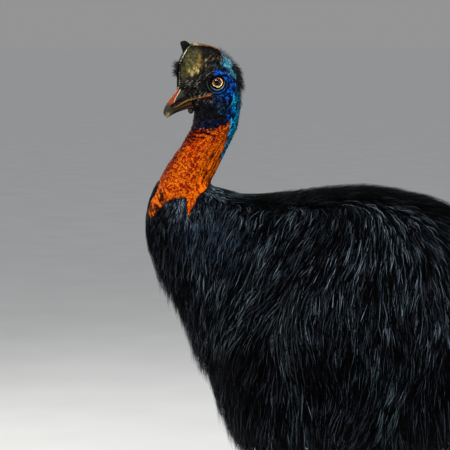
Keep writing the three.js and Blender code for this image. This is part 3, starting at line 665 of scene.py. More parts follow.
    # folds of the lids: darker round the eye, most below it; the crests of the lower folds are painted paler as painted
    # highlights
    around_eye = smooth(-rf, -30.5, -25)
    lower = smooth(-np.sin(theta), -0.42, 0.1)
    c = paint(c, rgb(0.018, 0.018, 0.032), around_eye * (0.30 + 0.66 * lower) * (1 - 0.75 * blue * smooth(up, 6, 15)))
    front = smooth(-back, 2, 18)
    lid_crest_highlight1 = 0.9 * bell(rf - 15.6, 0.75) * lower
    lid_crest_highlight2 = 0.85 * bell(rf - 21.9, 0.9) * lower
    lid_crest_highlight3 = 0.85 * bell(rf - 28.0, 1.0) * lower * smooth(back, -26, 0)
    c = paint(c, mix(rgb(0.44, 0.66, 0.78), rgb(0.26, 0.36, 0.35), front[..., None]), 0.97 * lid_crest_highlight1 * np.clip(0.85 + 0.4 * dapple, 0, 1))
    c = paint(c, mix(rgb(0.13, 0.38, 0.66), rgb(0.26, 0.34, 0.31), front[..., None]), 0.9 * lid_crest_highlight2 * np.clip(0.8 + 0.5 * dapple, 0, 1))
    c = paint(c, mix(rgb(0.05, 0.22, 0.44), rgb(0.18, 0.21, 0.20), front[..., None]), 0.75 * lid_crest_highlight3 * np.clip(0.8 + 0.5 * dapple, 0, 1))
    rim = smooth(-(r - eye_opening(theta)), -3.1, -2.1)
    c = paint(c, rgb(0.012, 0.010, 0.014), rim)
    corner = bell(np.hypot((back + 16.0) / 4.6, (up + 1.0) / 6.5), 1.0)
    c = paint(c, rgb(0.02, 0.012, 0.028), np.clip(1.3 * corner, 0, 1) * 0.95)
    # painted shade in the groove along the brow, under the fold that head_shape raises above it
    d, _ = line_distance(back, up, BROW_LINE)
    c = paint(c, rgb(0.012, 0.008, 0.012), smooth(-d, -3.0, -1.8) * (np.abs(x) > 10))
    # nape strip, cyan
    strip_edge = np.interp(k, [6.2, 6.9, 7.3, 7.7, 8.5, 9.24, 9.82, 10.15, 11.2, 12.1, 12.9, 13.5, 14.0, 14.4], [20, 52, 63, 69, 72, 70, 64, 64, 55, 44, 35, 26, 10, -20])
    strip = smooth(strip_edge - sa + 4 * mid + 4 * dapple + 3 * speck, -4, 4) * smooth(k + 0.3 * mid, 6.6, 7.6)
    teal = paint(np.broadcast_to(rgb(0.02, 0.50, 0.70), q.shape).copy(), rgb(0.01, 0.27, 0.43), smooth(mid + 0.5 * dapple2, -0.1, 0.7))
    teal = paint(teal, rgb(0.03, 0.24, 0.66), 0.85 * smooth(strip_edge - sa, 24, 4) * smooth(k, 10.6, 9.4) * smooth(dapple2 + mid, -0.4, 0.4))
    teal = paint(teal, rgb(0.10, 0.80, 1.0), 0.85 * smooth(dapple + 0.4 * fine + 0.3 * mid, 0.25, 0.8))
    teal = paint(teal, rgb(0.0, 0.045, 0.09), 0.85 * smooth(-dapple - 0.3 * speck, 0.20, 0.7))
    # painted shade in the creases
    teal = paint(teal, rgb(0.0, 0.04, 0.08), 0.6 * crease_shade)
    teal = paint(teal, rgb(0.0, 0.05, 0.10), 0.6 * smooth(-speck, 0.12, 0.45))
    teal = paint(teal, rgb(0.03, 0.12, 0.16), 0.8 * smooth(-k, -8.4, -7.0) * smooth(mid, -0.6, 0.3))
    c = paint(c, teal, strip)
    # gape: ochre to orange-red lip, dark slit
    d, t = line_distance(s, z, GAPE)
    above = z - np.interp(s, [p[0] for p in GAPE], [p[1] for p in GAPE])
    near = smooth(-s, 22, 32) * smooth(s, -74, -70)
    c = paint(c, mix(rgb(0.56, 0.42, 0.24), rgb(0.76, 0.34, 0.12), smooth(s, -56, -42)[..., None]), near * bell(d - 0.2, 1.8) * smooth(above, -1.6, 0.2) * np.clip(0.85 + 0.5 * dapple, 0, 1))
    c = paint(c, rgb(0.50, 0.48, 0.42), 0.6 * near * bell(above - 4.6, 1.0) * smooth(dapple, -0.2, 0.4))
    c = paint(c, rgb(0.012, 0.01, 0.012), near * bell(above + 2.0, 1.1))
    # orange of the neck
    top = np.interp(sa, [0, 60, 67, 76, 90, 96, 109, 138, 180], [9.6, 9.85, 10.15, 10.45, 10.65, 10.95, 11.05, 10.95, 10.85])
    orange = smooth(k - top + 0.12 * mid + 0.16 * dapple + 0.10 * speck, -0.10, 0.10) * (1 - strip)
    n1, n2, nwho = cells(q, 3.4, 31)
    groove = 1 - smooth(n2 - n1, 0.02, 0.30)
    hot = paint(np.broadcast_to(rgb(0.76, 0.25, 0.01), q.shape).copy(), rgb(0.88, 0.40, 0.02), smooth(fractal(q, 26, 33) + 0.7 * smooth(k, 12, 15) - 0.08 + 0.4 * dapple, 0.0, 0.9))
    hot = paint(hot, rgb(0.97, 0.52, 0.10), 0.75 * smooth(nwho, 0.5, 0.9) * smooth(dapple2 + 0.3 * speck, -0.3, 0.5) * (1 - groove))
    hot = paint(hot, rgb(0.46, 0.06, 0.012), 0.80 * smooth(-dapple - 0.4 * mid, 0.10, 0.7))
    # painted shade in the grooves between the beads, which head_shape sinks
    hot = paint(hot, rgb(0.26, 0.03, 0.012), 0.85 * groove)
    # painted shade down the front of the neck: dark purple-red, with deeper red leading into it
    front_shade = smooth(sa, 130, 158) * smooth(-k, -16.6, -15.2)
    hot = paint(hot, rgb(0.15, 0.016, 0.03), 0.94 * front_shade * smooth(mid + 0.7 + 0.4 * dapple, -0.4, 0.6) * smooth(-k, -17.4, -15.6))
    hot = paint(hot, rgb(0.42, 0.05, 0.006), 0.45 * smooth(sa, 122, 150) * smooth(-k, -17.0, -15.8))
    hot = paint(hot, rgb(0.34, 0.13, 0.025), 0.40 * smooth(sa, 118, 140) * smooth(k, 16.4, 17.6) * smooth(mid + dapple, -0.8, 0.3))
    hatch = noise(np.stack([(sa + 22 * k) * 0.55, (sa - 22 * k) * 0.10, 0 * k], -1), 2.4, 37)
    hot = paint(hot, rgb(0.025, 0.010, 0.008), 0.97 * smooth(sa, 116, 130) * smooth(k, 16.2, 17.2) * smooth(hatch + 0.2 * dapple, -0.06, 0.12))
    hot = paint(hot, rgb(0.92, 0.44, 0.05), 0.7 * smooth(sa, 116, 130) * smooth(k, 16.2, 17.2) * smooth(-hatch - 0.2 * dapple, 0.06, 0.22))
    dark_dots = smooth(nwho + 0.25 * speck, 0.74, 0.84) * smooth(36 * smooth(-k, -13.5, -10.8) + 32 * smooth(-sa, -110, -40) + 14 * mid, 6, 30)
    hot = paint(hot, rgb(0.055, 0.015, 0.03), 0.78 * dark_dots)
    hot = paint(hot, rgb(0.96, 0.46, 0.06), 0.6 * smooth(-k, -13.4, -12.0) * smooth(-sa, -128, -100) * smooth(dapple2 + 0.4 * speck, 0.0, 0.5) * (1 - groove))
    m1, m2, mwho = cells(q, 5.6, 36)
    dots = smooth(-m1, -0.40, -0.24) * smooth(mwho, 0.28, 0.34) * smooth(-sa, -118, -80) * smooth(-k, -13.9, -12.6) * smooth(k, 10.9, 11.4)
    hot = paint(hot, rgb(0.03, 0.012, 0.04), 0.9 * dots)
    hot = paint(hot, rgb(0.98, 0.50, 0.06), 0.55 * smooth(speck + 0.3 * dapple, 0.25, 0.6) * (1 - groove))
    hot = paint(hot, rgb(0.30, 0.035, 0.012), 0.65 * smooth(-speck - 0.2 * dapple, 0.2, 0.5))
    # painted shade along the neck's creases, which head_shape also sinks
    for kk, lo, hi, w, slope in NECK_CREASES:
        painted_crease_line = bell(k - kk - slope * (hi - sa) - 0.07 * np.sin(sa / 9 + kk) - 0.05 * mid, w) * smooth(sa, lo - 6, lo + 4) * smooth(-sa, -hi - 6, -hi + 4)
        hot = paint(hot, rgb(0.045, 0.004, 0.03), 0.97 * np.clip(1.25 * painted_crease_line, 0, 1))
    edge_dots = smooth(nwho, 0.36, 0.50) * smooth(-(k - top), -0.62, 0.0)
    hot = paint(hot, rgb(0.06, 0.012, 0.04), 0.9 * edge_dots)
    streak = noise(np.stack([sa * 0.9, k * 4.0, 0 * k], -1), 3.0, 35)
    rear = smooth(-sa, -86, -46) * smooth(k, 11.6, 13.0)
    hot = paint(hot, rgb(0.95, 0.44, 0.03), 0.85 * rear * smooth(-streak - 0.2 * speck, -0.04, 0.3))
    hot = paint(hot, rgb(0.10, 0.012, 0.012), 0.90 * rear * smooth(streak + 0.2 * speck, 0.26, 0.50))
    line = smooth(-np.abs(strip_edge - sa), -10, -3) * smooth(k, 9.8, 11) * smooth(-k, -14.4, -13.6)
    hot = paint(hot, rgb(0.03, 0.015, 0.05), 0.85 * line * smooth(speck, -0.6, 0.2))
    c = paint(c, hot, orange)
    # plumed skin
    under = smooth(k - bare_edge(a, k) + 0.10 * mid + 0.06 * speck, -0.04, 0.16)
    c = paint(c, rgb(0.003, 0.003, 0.004), under)
    return c, orange * (1 - under), strip, blue


NECK_CREASES = ((11.12, 100, 178, 0.10, 0.0062), (11.52, 108, 178, 0.09, 0.0070), (11.90, 128, 178, 0.08, 0.0065), (12.35, 138, 178, 0.07, 0.004), (11.62, 84, 112, 0.07, 0.004), (13.1, 150, 180, 0.08, 0.0), (14.2, 150, 180, 0.08, 0.0), (10.98, 140, 180, 0.06, 0.0))


def head_shape(L, k, a):
    """Moves the skin's points: folds, lids, lips and beads. L: unturned points."""
    x, s, z = L[..., 0], L[..., 1] - AXIS_Y, L[..., 2]
    sd = np.where(x < 0, -1.0, 1.0)
    q = np.stack([x, s, z], -1)
    along, back, up = eye_frame(x, s, z)
    r, theta = np.hypot(back, up), np.arctan2(up, back)
    rf = lid_radius(back, up)
    on_head = (k < 9.5) & (np.abs(x) > 8)
    # lids: the skin runs down onto the globe, in rings
    opening = eye_opening(theta)
    depth = np.interp(r - opening, [-6, -0.35, 0.0, 0.6, 2.0, 8, 14, 20], [7.5, 8.5, 11.4, 12.4, 13.2, 15.0, 16.6, 17.4])
    lower = smooth(-np.sin(theta), -0.5, 0.1)
    folds = lower * (1.0 * bell(rf - 15.6, 1.1) - 1.3 * bell(rf - 18.7, 1.2) + 1.1 * bell(rf - 21.9, 1.4) - 1.2 * bell(rf - 25.0, 1.3) + 0.7 * bell(rf - 28.0, 1.5) - 0.7 * bell(rf - 30.8, 1.2))
    d, _ = line_distance(back, up, BROW_LINE)
    folds = folds - 1.6 * bell(d, 1.3) * (r > 13.0) + 1.0 * bell(up - 18.5, 3.0) * bell(back - 3, 14) * (up > 10)
    near = on_head & (r < 34)
    w = smooth(-r, -32, -19) * near
    ra = np.where(near & (r > opening - 1.4) & (r <= opening + 0.05), opening - 0.25, r)
    ra = np.where(near & (r > opening + 0.05) & (r <= opening + 0.95), opening + 0.25, ra)
    along2 = mix(along, depth, w) + folds * smooth(-r, -34, -29) * near
    back2, up2 = ra * np.cos(theta), ra * np.sin(theta)
    nx = EYE["x"] + along2 * EC + back2 * ES
    ns = EYE["s"] - along2 * ES + back2 * EC
    nz_ = EYE["z"] + up2
    L2 = np.stack([np.where(near, sd * nx, x), np.where(near, ns, s) + AXIS_Y, np.where(near, nz_, z)], -1)
    # what stands out along the normal
    n, _, _ = around(k, a)
    n = turned(n + (0, AXIS_Y, 0), -yaw(k)) - (0, AXIS_Y, 0)
    away = smooth(r, 13, 24) * on_head + (~on_head)
    mid, fine, wide, speck = fractal(q, 6, 41), noise(q, 2.0, 42), fractal(q, 22, 43), noise(q, 2.5, 12)
    sa = side_angle(a)
    h = 0.45 * mid * smooth(-k, -11, -9) * away
    f1, f2, _ = cells(q, 2.7, 15)
    h = h + 0.5 * (smooth(f2 - f1, 0.0, 0.35) - 0.5) * smooth(-k, -10.5, -9.5) * away * smooth(k, 0.2, 0.8)
    slant = noise(np.stack([(s * 0.64 - z * 0.77), (s * 0.77 + z * 0.64) * 0.30, x * 0.6], -1), 2.1, 16)
    h = h + 0.7 * slant * smooth(-s, 20, 34) * smooth(z, 1176, 1184) * smooth(k, 0.3, 0.9) * away
    # cere: wrinkles along the foot of the casque
    below = foot_line(s) - z
    mid13 = fractal(q, 7, 13)
    bands = np.sin(2 * np.pi * (below + 1.6 * mid13 + 0.25 * (s + 80)) / 4.3)
    h = h + 0.8 * bands * smooth(-s, 60, 68) * smooth(below, -8, -3) * smooth(-below, -16, -9)
    # gape
    above = z - np.interp(s, [p[0] for p in GAPE], [p[1] for p in GAPE])
    lip = smooth(-s, 18, 30) * smooth(-k, -9, -7) * (z > 1150)
    h = h + lip * (1.2 * bell(above - 0.6, 1.6) - 1.6 * bell(above + 2.0, 1.1) + 0.9 * bell(above + 5.0, 2.0) - 0.6 * bell(above - 3.0, 0.8) + 0.5 * bell(above - 4.8, 1.1))
    # jaw: the throat is drawn in beneath it
    jaw = np.interp(s, [-70, -53, -40, -26, -10, 20], [1168, 1172, 1171, 1170, 1160, 1150])
    h = h - 2.0 * smooth(jaw - z, -1.5, 7) * smooth(-s, 6, 22) * smooth(z, 1146, 1160) + 1.3 * smooth(sa, 120, 165) * bell(z - 1128, 14)
    # ear boss and the hollow before it
    er = np.hypot((s + 5.5) / 12, (z - 1165.5) / 15)
    h = h + 1.6 * bell(er, 0.8) - 1.1 * bell(er - 1.15, 0.2) + 0.5 * speck * (er < 1)
    h = h - 2.2 * bell(np.hypot((s + 17) / 2.2, (z - 1174) / 3.6), 1.0)
    # wrinkles that run round the eye over the blue and the cheek
    ring = noise(np.stack([rf, np.degrees(theta) * 0.10, 0 * r], -1), 2.6, 19)
    h = h - 0.9 * smooth(ring + 0.3 * fine, 0.1, 0.7) * smooth(r, 22, 28) * smooth(-r, -62, -46) * on_head * smooth(s, -46, -30)
    # neck: soft cross folds, long folds at the back, beads
    neck = smooth(k, 10.0, 10.9) * smooth(-(k - bare_edge(a, k)), -0.6, 0.1)
    h = h + neck * (0.9 * wide + 0.6 * mid)
    for kk, lo, hi, w_, slope in NECK_CREASES:
        h = h - 1.9 * bell(k - kk - slope * (hi - sa) - 0.07 * np.sin(sa / 9 + kk) - 0.05 * mid13, w_) * smooth(sa, lo - 6, lo + 4) * smooth(-sa, -hi - 6, -hi + 4)
    streak = noise(np.stack([sa * 0.9, k * 4.0, 0 * k], -1), 3.2, 35)
    h = h - neck * 1.2 * smooth(streak, 0.0, 0.7) * smooth(-sa, -80, -42) * smooth(k, 11.2, 12.4)
    n1, n2, nwho = cells(q, 3.4, 31)
    h = h + neck * 1.3 * (smooth(n2 - n1, 0.0, 0.42) * (0.7 + 0.6 * nwho) - 0.5)
    nape = smooth(k, 6, 7.5) * smooth(-k, -13.4, -12) * smooth(-sa, -76, -60)
    h = h + nape * (0.6 * fine + 0.5 * mid)
    L3 = L2 + n * h[..., None]
    return turned(L3, yaw(k)), back, up


def skin_point(k, a, sink=0.0):
    L = surface(k, a, -(inset(k, a) + sink), turn=False)
    p, _, _ = head_shape(L, k, a)
    return p


def leg_parts(side):
    """One leg's flesh as shells that run into each other: thigh, shank and foot, toes."""
    HOCK_Z, LEG_X, FOOT_Y, HOCK_Y = 352.0, 92.0, 82.0, 126.0

    def tube(points, sizes, rings, corners):
        t = np.linspace(0, 1, rings + 1)
        c = spline(points, t)
        size = spline(sizes, t)
        along = unit(np.gradient(c, axis=0))
        up = unit(np.cross(np.array([1.0, 0, 0]), along))
        w = unit(np.cross(along, up))
        a = np.linspace(0, 2 * np.pi, corners, endpoint=False)
        sec = c[:, None] + w[:, None] * (size[:, 0, None] * np.sin(a))[..., None] + up[:, None] * (size[:, 1, None] * np.cos(a))[..., None]
        return lofted(sec)

    parts = [
        tube([[side * 92, HOCK_Y - 34, 520], [side * 93, HOCK_Y - 22, 465], [side * 94, HOCK_Y - 11, 415], [side * (LEG_X + 1), HOCK_Y - 3, 378], [side * LEG_X, HOCK_Y, HOCK_Z - 4]],
             [[34, 62], [34, 54], [33, 46], [28, 35], [22, 27]], 40, 48),
        tube([[side * LEG_X, HOCK_Y + 0.2, HOCK_Z + 8], [side * LEG_X, HOCK_Y, HOCK_Z - 22], [side * LEG_X, HOCK_Y - 8, HOCK_Z - 80], [side * LEG_X, (HOCK_Y + FOOT_Y) / 2 + 4, 180],
              [side * LEG_X, FOOT_Y + 10, 95], [side * LEG_X, FOOT_Y, 52], [side * LEG_X, FOOT_Y - 4, 24]],
             [[22, 26], [24, 28], [17.4, 19.4], [14, 16.5], [14.5, 17.5], [21.5, 20.5], [26, 20.5]], 90, 40),
    ]
    u, v = np.meshgrid(np.linspace(0, np.pi, 30), np.linspace(0, 2 * np.pi, 40, endpoint=False), indexing="ij")
    pad = np.stack([side * LEG_X + 30.5 * np.sin(u) * np.cos(v), FOOT_Y - 5 + 29.5 * np.sin(u) * np.sin(v), np.maximum(25 + 24 * np.cos(u), 0.0)], -1)
    parts.append(lofted(pad[1:-1]))
    for angle, length, root, tip in ((-27, 78, 19, 14.5), (4, 140, 22, 14), (36, 104, 18.5, 12.5)):
        a = math.radians(angle) * side
        direction = np.array([math.sin(a), -math.cos(a), 0])
        across = np.array([math.cos(a), math.sin(a), 0])
        base = np.array([side * LEG_X, FOOT_Y - 6, 0.0])
        t = np.linspace(0, 1, 60)
        pads = 1 + 0.055 * np.cos(t * np.pi * (7 if length > 120 else 5))
        end = np.sqrt(np.maximum(0.10, 1 - (np.maximum(0, t - 0.8) / 0.2) ** 2 * 0.9))
        half = mix(root, tip, t) * pads * end
        high = mix(41, tip * 2.05, t**0.7) * pads * (0.4 + 0.6 * end)
        b = np.linspace(0, 2 * np.pi, 40, endpoint=False)
        cz, sz = np.cos(b), np.sin(b)
        zz = high[:, None] * 0.42 + np.where(cz >= 0, high[:, None] * 0.58, high[:, None] * 0.46) * (np.sign(cz) * np.abs(cz) ** 0.9)
        sec = base + (t * (length + 5))[:, None, None] * direction + (half[:, None] * (np.sign(sz) * np.abs(sz) ** 0.9))[..., None] * across
        sec[..., 2] = np.maximum(zz, 0.0)
        parts.append(lofted(sec))
    return parts


def leg_mesh(side):
    """The leg's shells fused into one skin, then scutes and scales."""
    v, f = joined(leg_parts(side))
    ob = mesh_object("leg_raw", lift(v), f)
    mod = ob.modifiers.new("fuse", "REMESH")
    mod.mode, mod.voxel_size = "VOXEL", 0.0023
    mod.use_smooth_shade = True
    sm = ob.modifiers.new("soft", "SMOOTH")
    sm.factor, sm.iterations = 0.5, 4
    dg = bpy.context.evaluated_depsgraph_get()
    me = bpy.data.meshes.new_from_object(ob.evaluated_get(dg))
    bpy.data.objects.remove(ob)
    TALLY.pop("leg_raw", None)
    n = len(me.vertices)
    co = np.zeros(n * 3, np.float32)
    me.vertices.foreach_get("co", co)
    co = co.reshape(-1, 3).astype(float) * 1000 - (0, SHIFT_Y, 0)
    no = np.zeros(n * 3, np.float32)
    me.vertices.foreach_get("normal", no)
    no = no.reshape(-1, 3).astype(float)
    starts = np.zeros(len(me.polygons), np.int32)
    totals = starts.copy()
    me.polygons.foreach_get("loop_start", starts)
    me.polygons.foreach_get("loop_total", totals)
    li = np.zeros(len(me.loops), np.int32)
    me.loops.foreach_get("vertex_index", li)
    quads = [li[starts[totals == m][:, None] + np.arange(m)] for m in (3, 4) if (totals == m).any()]
    bpy.data.meshes.remove(me)
    LEG_X, FOOT_Y = 92.0, 82.0
    x, y, z = co.T
    lx = x - side * LEG_X
    # shank: broad scutes down the front, small scales at the sides and behind
    cy = np.interp(z, [20, 52, 95, 180, 272, 330, 352, 415, 520], [78, 82, 92, 108, 118, 126, 126, 115, 92])
    round_ = np.arctan2(lx, -(y - cy))  # 0 at the front
    on_shank = smooth(z, 46, 60) * smooth(-z, -350, -335)
    frontness = bell(round_, 0.85)
    row = z / 13.5 + 0.06 * np.cos(round_ * 2) + 0.10 * noise(co, 30, 61)
    groove = np.abs((row % 1) - 0.5) * 2
    shape = on_shank * frontness * (1.5 * (1 - smooth(groove, 0.62, 0.98)) - 0.7)
    f1, f2, who = cells(co, 6.2, 62)
    pebbles = smooth(f2 - f1, 0.03, 0.35)
    shape = shape + (1 - frontness * on_shank) * 0.9 * (pebbles - 0.45) * smooth(-z, -400, -380)
    # toes: short scutes across the top
    top = smooth(no[:, 2], 0.25, 0.7) * smooth(-z, -50, -40)
    dist = np.hypot(lx, y - (FOOT_Y - 6))
    trow = dist / 8.6
    tg = np.abs((trow % 1) - 0.5) * 2
    toe = top * smooth(dist, 24, 34)
    shape = shape * (1 - toe) + toe * (1.25 * (1 - smooth(tg, 0.6, 0.98)) - 0.5)
    flat = smooth(z, 2.0, 7.0)
    co2 = co + no * (shape * flat)[:, None]
    co2[:, 2] = np.maximum(co2[:, 2], 0.0)
    co2[co[:, 2] < 1.0, 2] = 0.0
    dark = 1 - (pebbles * (1 - toe) * (1 - on_shank * frontness) + toe * (1 - smooth(tg, 0.7, 1.0)) + (1 - toe) * on_shank * frontness * (1 - smooth(groove, 0.7, 1.0)))
    mid = fractal(co, 24, 63)
    c = paint(np.broadcast_to(rgb(0.43, 0.41, 0.34), co.shape).copy(), rgb(0.32, 0.33, 0.29), smooth(mid, -0.4, 0.6))
    c = paint(c, rgb(0.52, 0.48, 0.38), 0.5 * smooth(who, 0.6, 0.95) * (1 - toe))
    c = paint(c, rgb(0.15, 0.14, 0.12), np.clip(dark, 0, 1) * 0.85)
    c = paint(c, rgb(0.25, 0.22, 0.18), 0.7 * smooth(-z, -10, -2))
    c = paint(c, rgb(0.03, 0.03, 0.034), smooth(z, 372, 392))
    # unwrap: round the leg and up it; the foot from above and below
    uv = []
    base_u = 0.01 if side > 0 else 0.51
    for f in quads:
        fc = co[f].mean(1)
        foot = fc[:, 2] < 48
        ang = np.arctan2(x[f] - side * LEG_X, -(y[f] - cy[f]))
        mean = np.arctan2(fc[:, 0] - side * LEG_X, -(fc[:, 1] - np.interp(fc[:, 2], [20, 52, 95, 180, 272, 330, 352, 415, 520], [78, 82, 92, 108, 118, 126, 126, 115, 92])))
        ang = mean[:, None] + (ang - mean[:, None] + np.pi) % (2 * np.pi) - np.pi
        u1 = base_u + 0.005 + 0.20 * (ang + np.pi + 0.3) / (2 * np.pi + 0.6)
        v1 = 0.865 + 0.125 * np.clip((z[f] - 40) / 490, 0, 1)
        below = no[f].mean(1)[:, 2] < -0.2
        u2 = base_u + 0.225 + 0.12 * below[:, None] + 0.115 * np.clip((lx[f] * side + 90) / 200, 0, 1)
        v2 = 0.865 + 0.125 * np.clip((y[f] + 160) / 290, 0, 1)
        uv.append(np.stack([np.where(foot[:, None], u2, u1), np.where(foot[:, None], v2, v1)], -1).reshape(-1, 2))
    return co2, quads, uv, c


def make_skin():
    # rings close together on head and neck, columns alike all round
    cols = 276
    fine_k = np.linspace(0, 19.4, 4000)
    pts = [surface(fine_k, np.full_like(fine_k, a)) for a in (0.0, np.pi / 2, np.pi)]
    step = np.max([np.linalg.norm(np.diff(p, axis=0), axis=1) for p in pts], axis=0)
    run = np.concatenate([[0], np.cumsum(step)])
    pitch = 1.27
    n = int(run[-1] / pitch)
    k_fine = np.interp(np.linspace(0, run[-1], n), run, fine_k)
    k_rest = np.linspace(19.4, 34.6, 64)[1:]
    ks = np.concatenate([k_fine, k_rest])
    aa = np.linspace(0, 2 * np.pi, cols, endpoint=False) + np.pi / cols
    # columns spread evenly by angle
    K, A = np.meshgrid(ks, aa, indexing="ij")
    D = inset(K, A)
    P = surface(K, A, -D)
    L = surface(K, A, -D, turn=False)
    head = ks < 19.4
    m = head
    P2 = P.copy()
    moved, back, up = head_shape(L[m], K[m], A[m])
    P2[m] = moved
    colour = np.broadcast_to(rgb(0.006, 0.006, 0.008), P.shape).copy()
    col, orange, strip, blue = head_paint(L[m], K[m], A[m], back, up)
    colour[m] = col
    beads = np.zeros(K.shape)
    beads[m] = np.clip(orange + 0.4 * strip, 0, 1)
    verts = P2.reshape(-1, 3)
    nr, nc = K.shape
    faces = grid_faces(nr, nc)[:, ::-1]
    # which way is out
    v = verts - verts.mean(0)
    vol = np.einsum("ij,ij->i", v[faces[:, 0]], np.cross(v[faces[:, 1]], v[faces[:, 2]])).sum()
    flip = vol < 0
    us = np.linspace(0.005, 0.995, nc + 1)
    vs = np.interp(ks, [0, 19.4, 34.6], [0.01, 0.72, 0.845])
    uv = grid_uv(us, vs).reshape(-1, 4, 2)[:, ::-1]
    if flip:
        faces, uv = faces[:, ::-1], uv[:, ::-1]
    parts_v = [verts, P2[0].mean(0)[None], P2[-1].mean(0)[None]]
    base = len(verts)
    j = np.arange(nc)
    jn = (j + 1) % nc
    cap0 = np.stack([j, jn, np.full(nc, base)], -1)
    cap1 = np.stack([(nr - 1) * nc + jn, (nr - 1) * nc + j, np.full(nc, base + 1)], -1)
    q = faces[0]
    tri = [cap0, cap1]
    # caps turned with the walls
    w0 = verts[faces[:, 0]]
    want = unit(surface(np.array([0.0]), np.array([0.0])) - surface(np.array([0.5]), np.array([0.0])))[0]
    n0 = np.cross(verts[cap0[0, 1]] - verts[cap0[0, 0]], parts_v[1][0] - verts[cap0[0, 0]])
    if n0 @ (P2[0].mean(0) - P2[4].mean(0)) < 0:
        tri[0] = tri[0][:, ::-1]
    n1 = np.cross(verts[cap1[0, 1]] - verts[cap1[0, 0]], parts_v[2][0] - verts[cap1[0, 0]])
    if n1 @ (P2[-1].mean(0) - P2[-3].mean(0)) < 0:
        tri[1] = tri[1][:, ::-1]
    colours = [colour.reshape(-1, 3), colour[0].mean(0)[None], colour[-1].mean(0)[None]]
    bead_all = [beads.ravel(), [0.0], [0.0]]
    quad_faces, quad_uv = [faces], [uv.reshape(-1, 2)]
    tri_faces = [np.vstack(tri)]
    tri_uv = [np.full((2 * nc * 3, 2), 0.002)]
    scale_all = [np.zeros(len(verts) + 2)]
    total = len(verts) + 2
    for side in (1, -1):
        lv, lf, luv, lc = leg_mesh(side)
        for f, w in zip(lf, luv):
            (quad_faces if f.shape[1] == 4 else tri_faces).append(f + total)
            (quad_uv if f.shape[1] == 4 else tri_uv).append(w)
        parts_v.append(lv)
        colours.append(lc)
        bead_all.append(np.zeros(len(lv)))
        scale_all.append(np.ones(len(lv)))
        total += len(lv)
    all_v = np.vstack(parts_v)
    ob = mesh_object(
        "skin", lift(all_v), [np.vstack(quad_faces), np.vstack(tri_faces)],
        uv=np.vstack(quad_uv + tri_uv), colour=np.vstack(colours),
        values={"bead": np.concatenate([np.asarray(b, float) for b in bead_all]), "scale": np.concatenate(scale_all)},
    )
    mat = material("skin", rough=0.50, vary=0.20, vary_size=2.2, rough_vary=0.14, spec=0.018,
                   bumps=[("noise", 1.1, 0.35, None), ("cells", 2.1, 0.6, "bead"), ("cells", 2.6, 0.45, "scale")])
    dress(ob, mat, "skin_black", "head", "neck_upper", "neck_lower", "trunk", "tail", "thigh_L", "thigh_R", "tarsus_L", "tarsus_R",
          *[f"toe_{t}_{s}" for t in ("inner", "middle", "outer") for s in "LR"])
    return ob


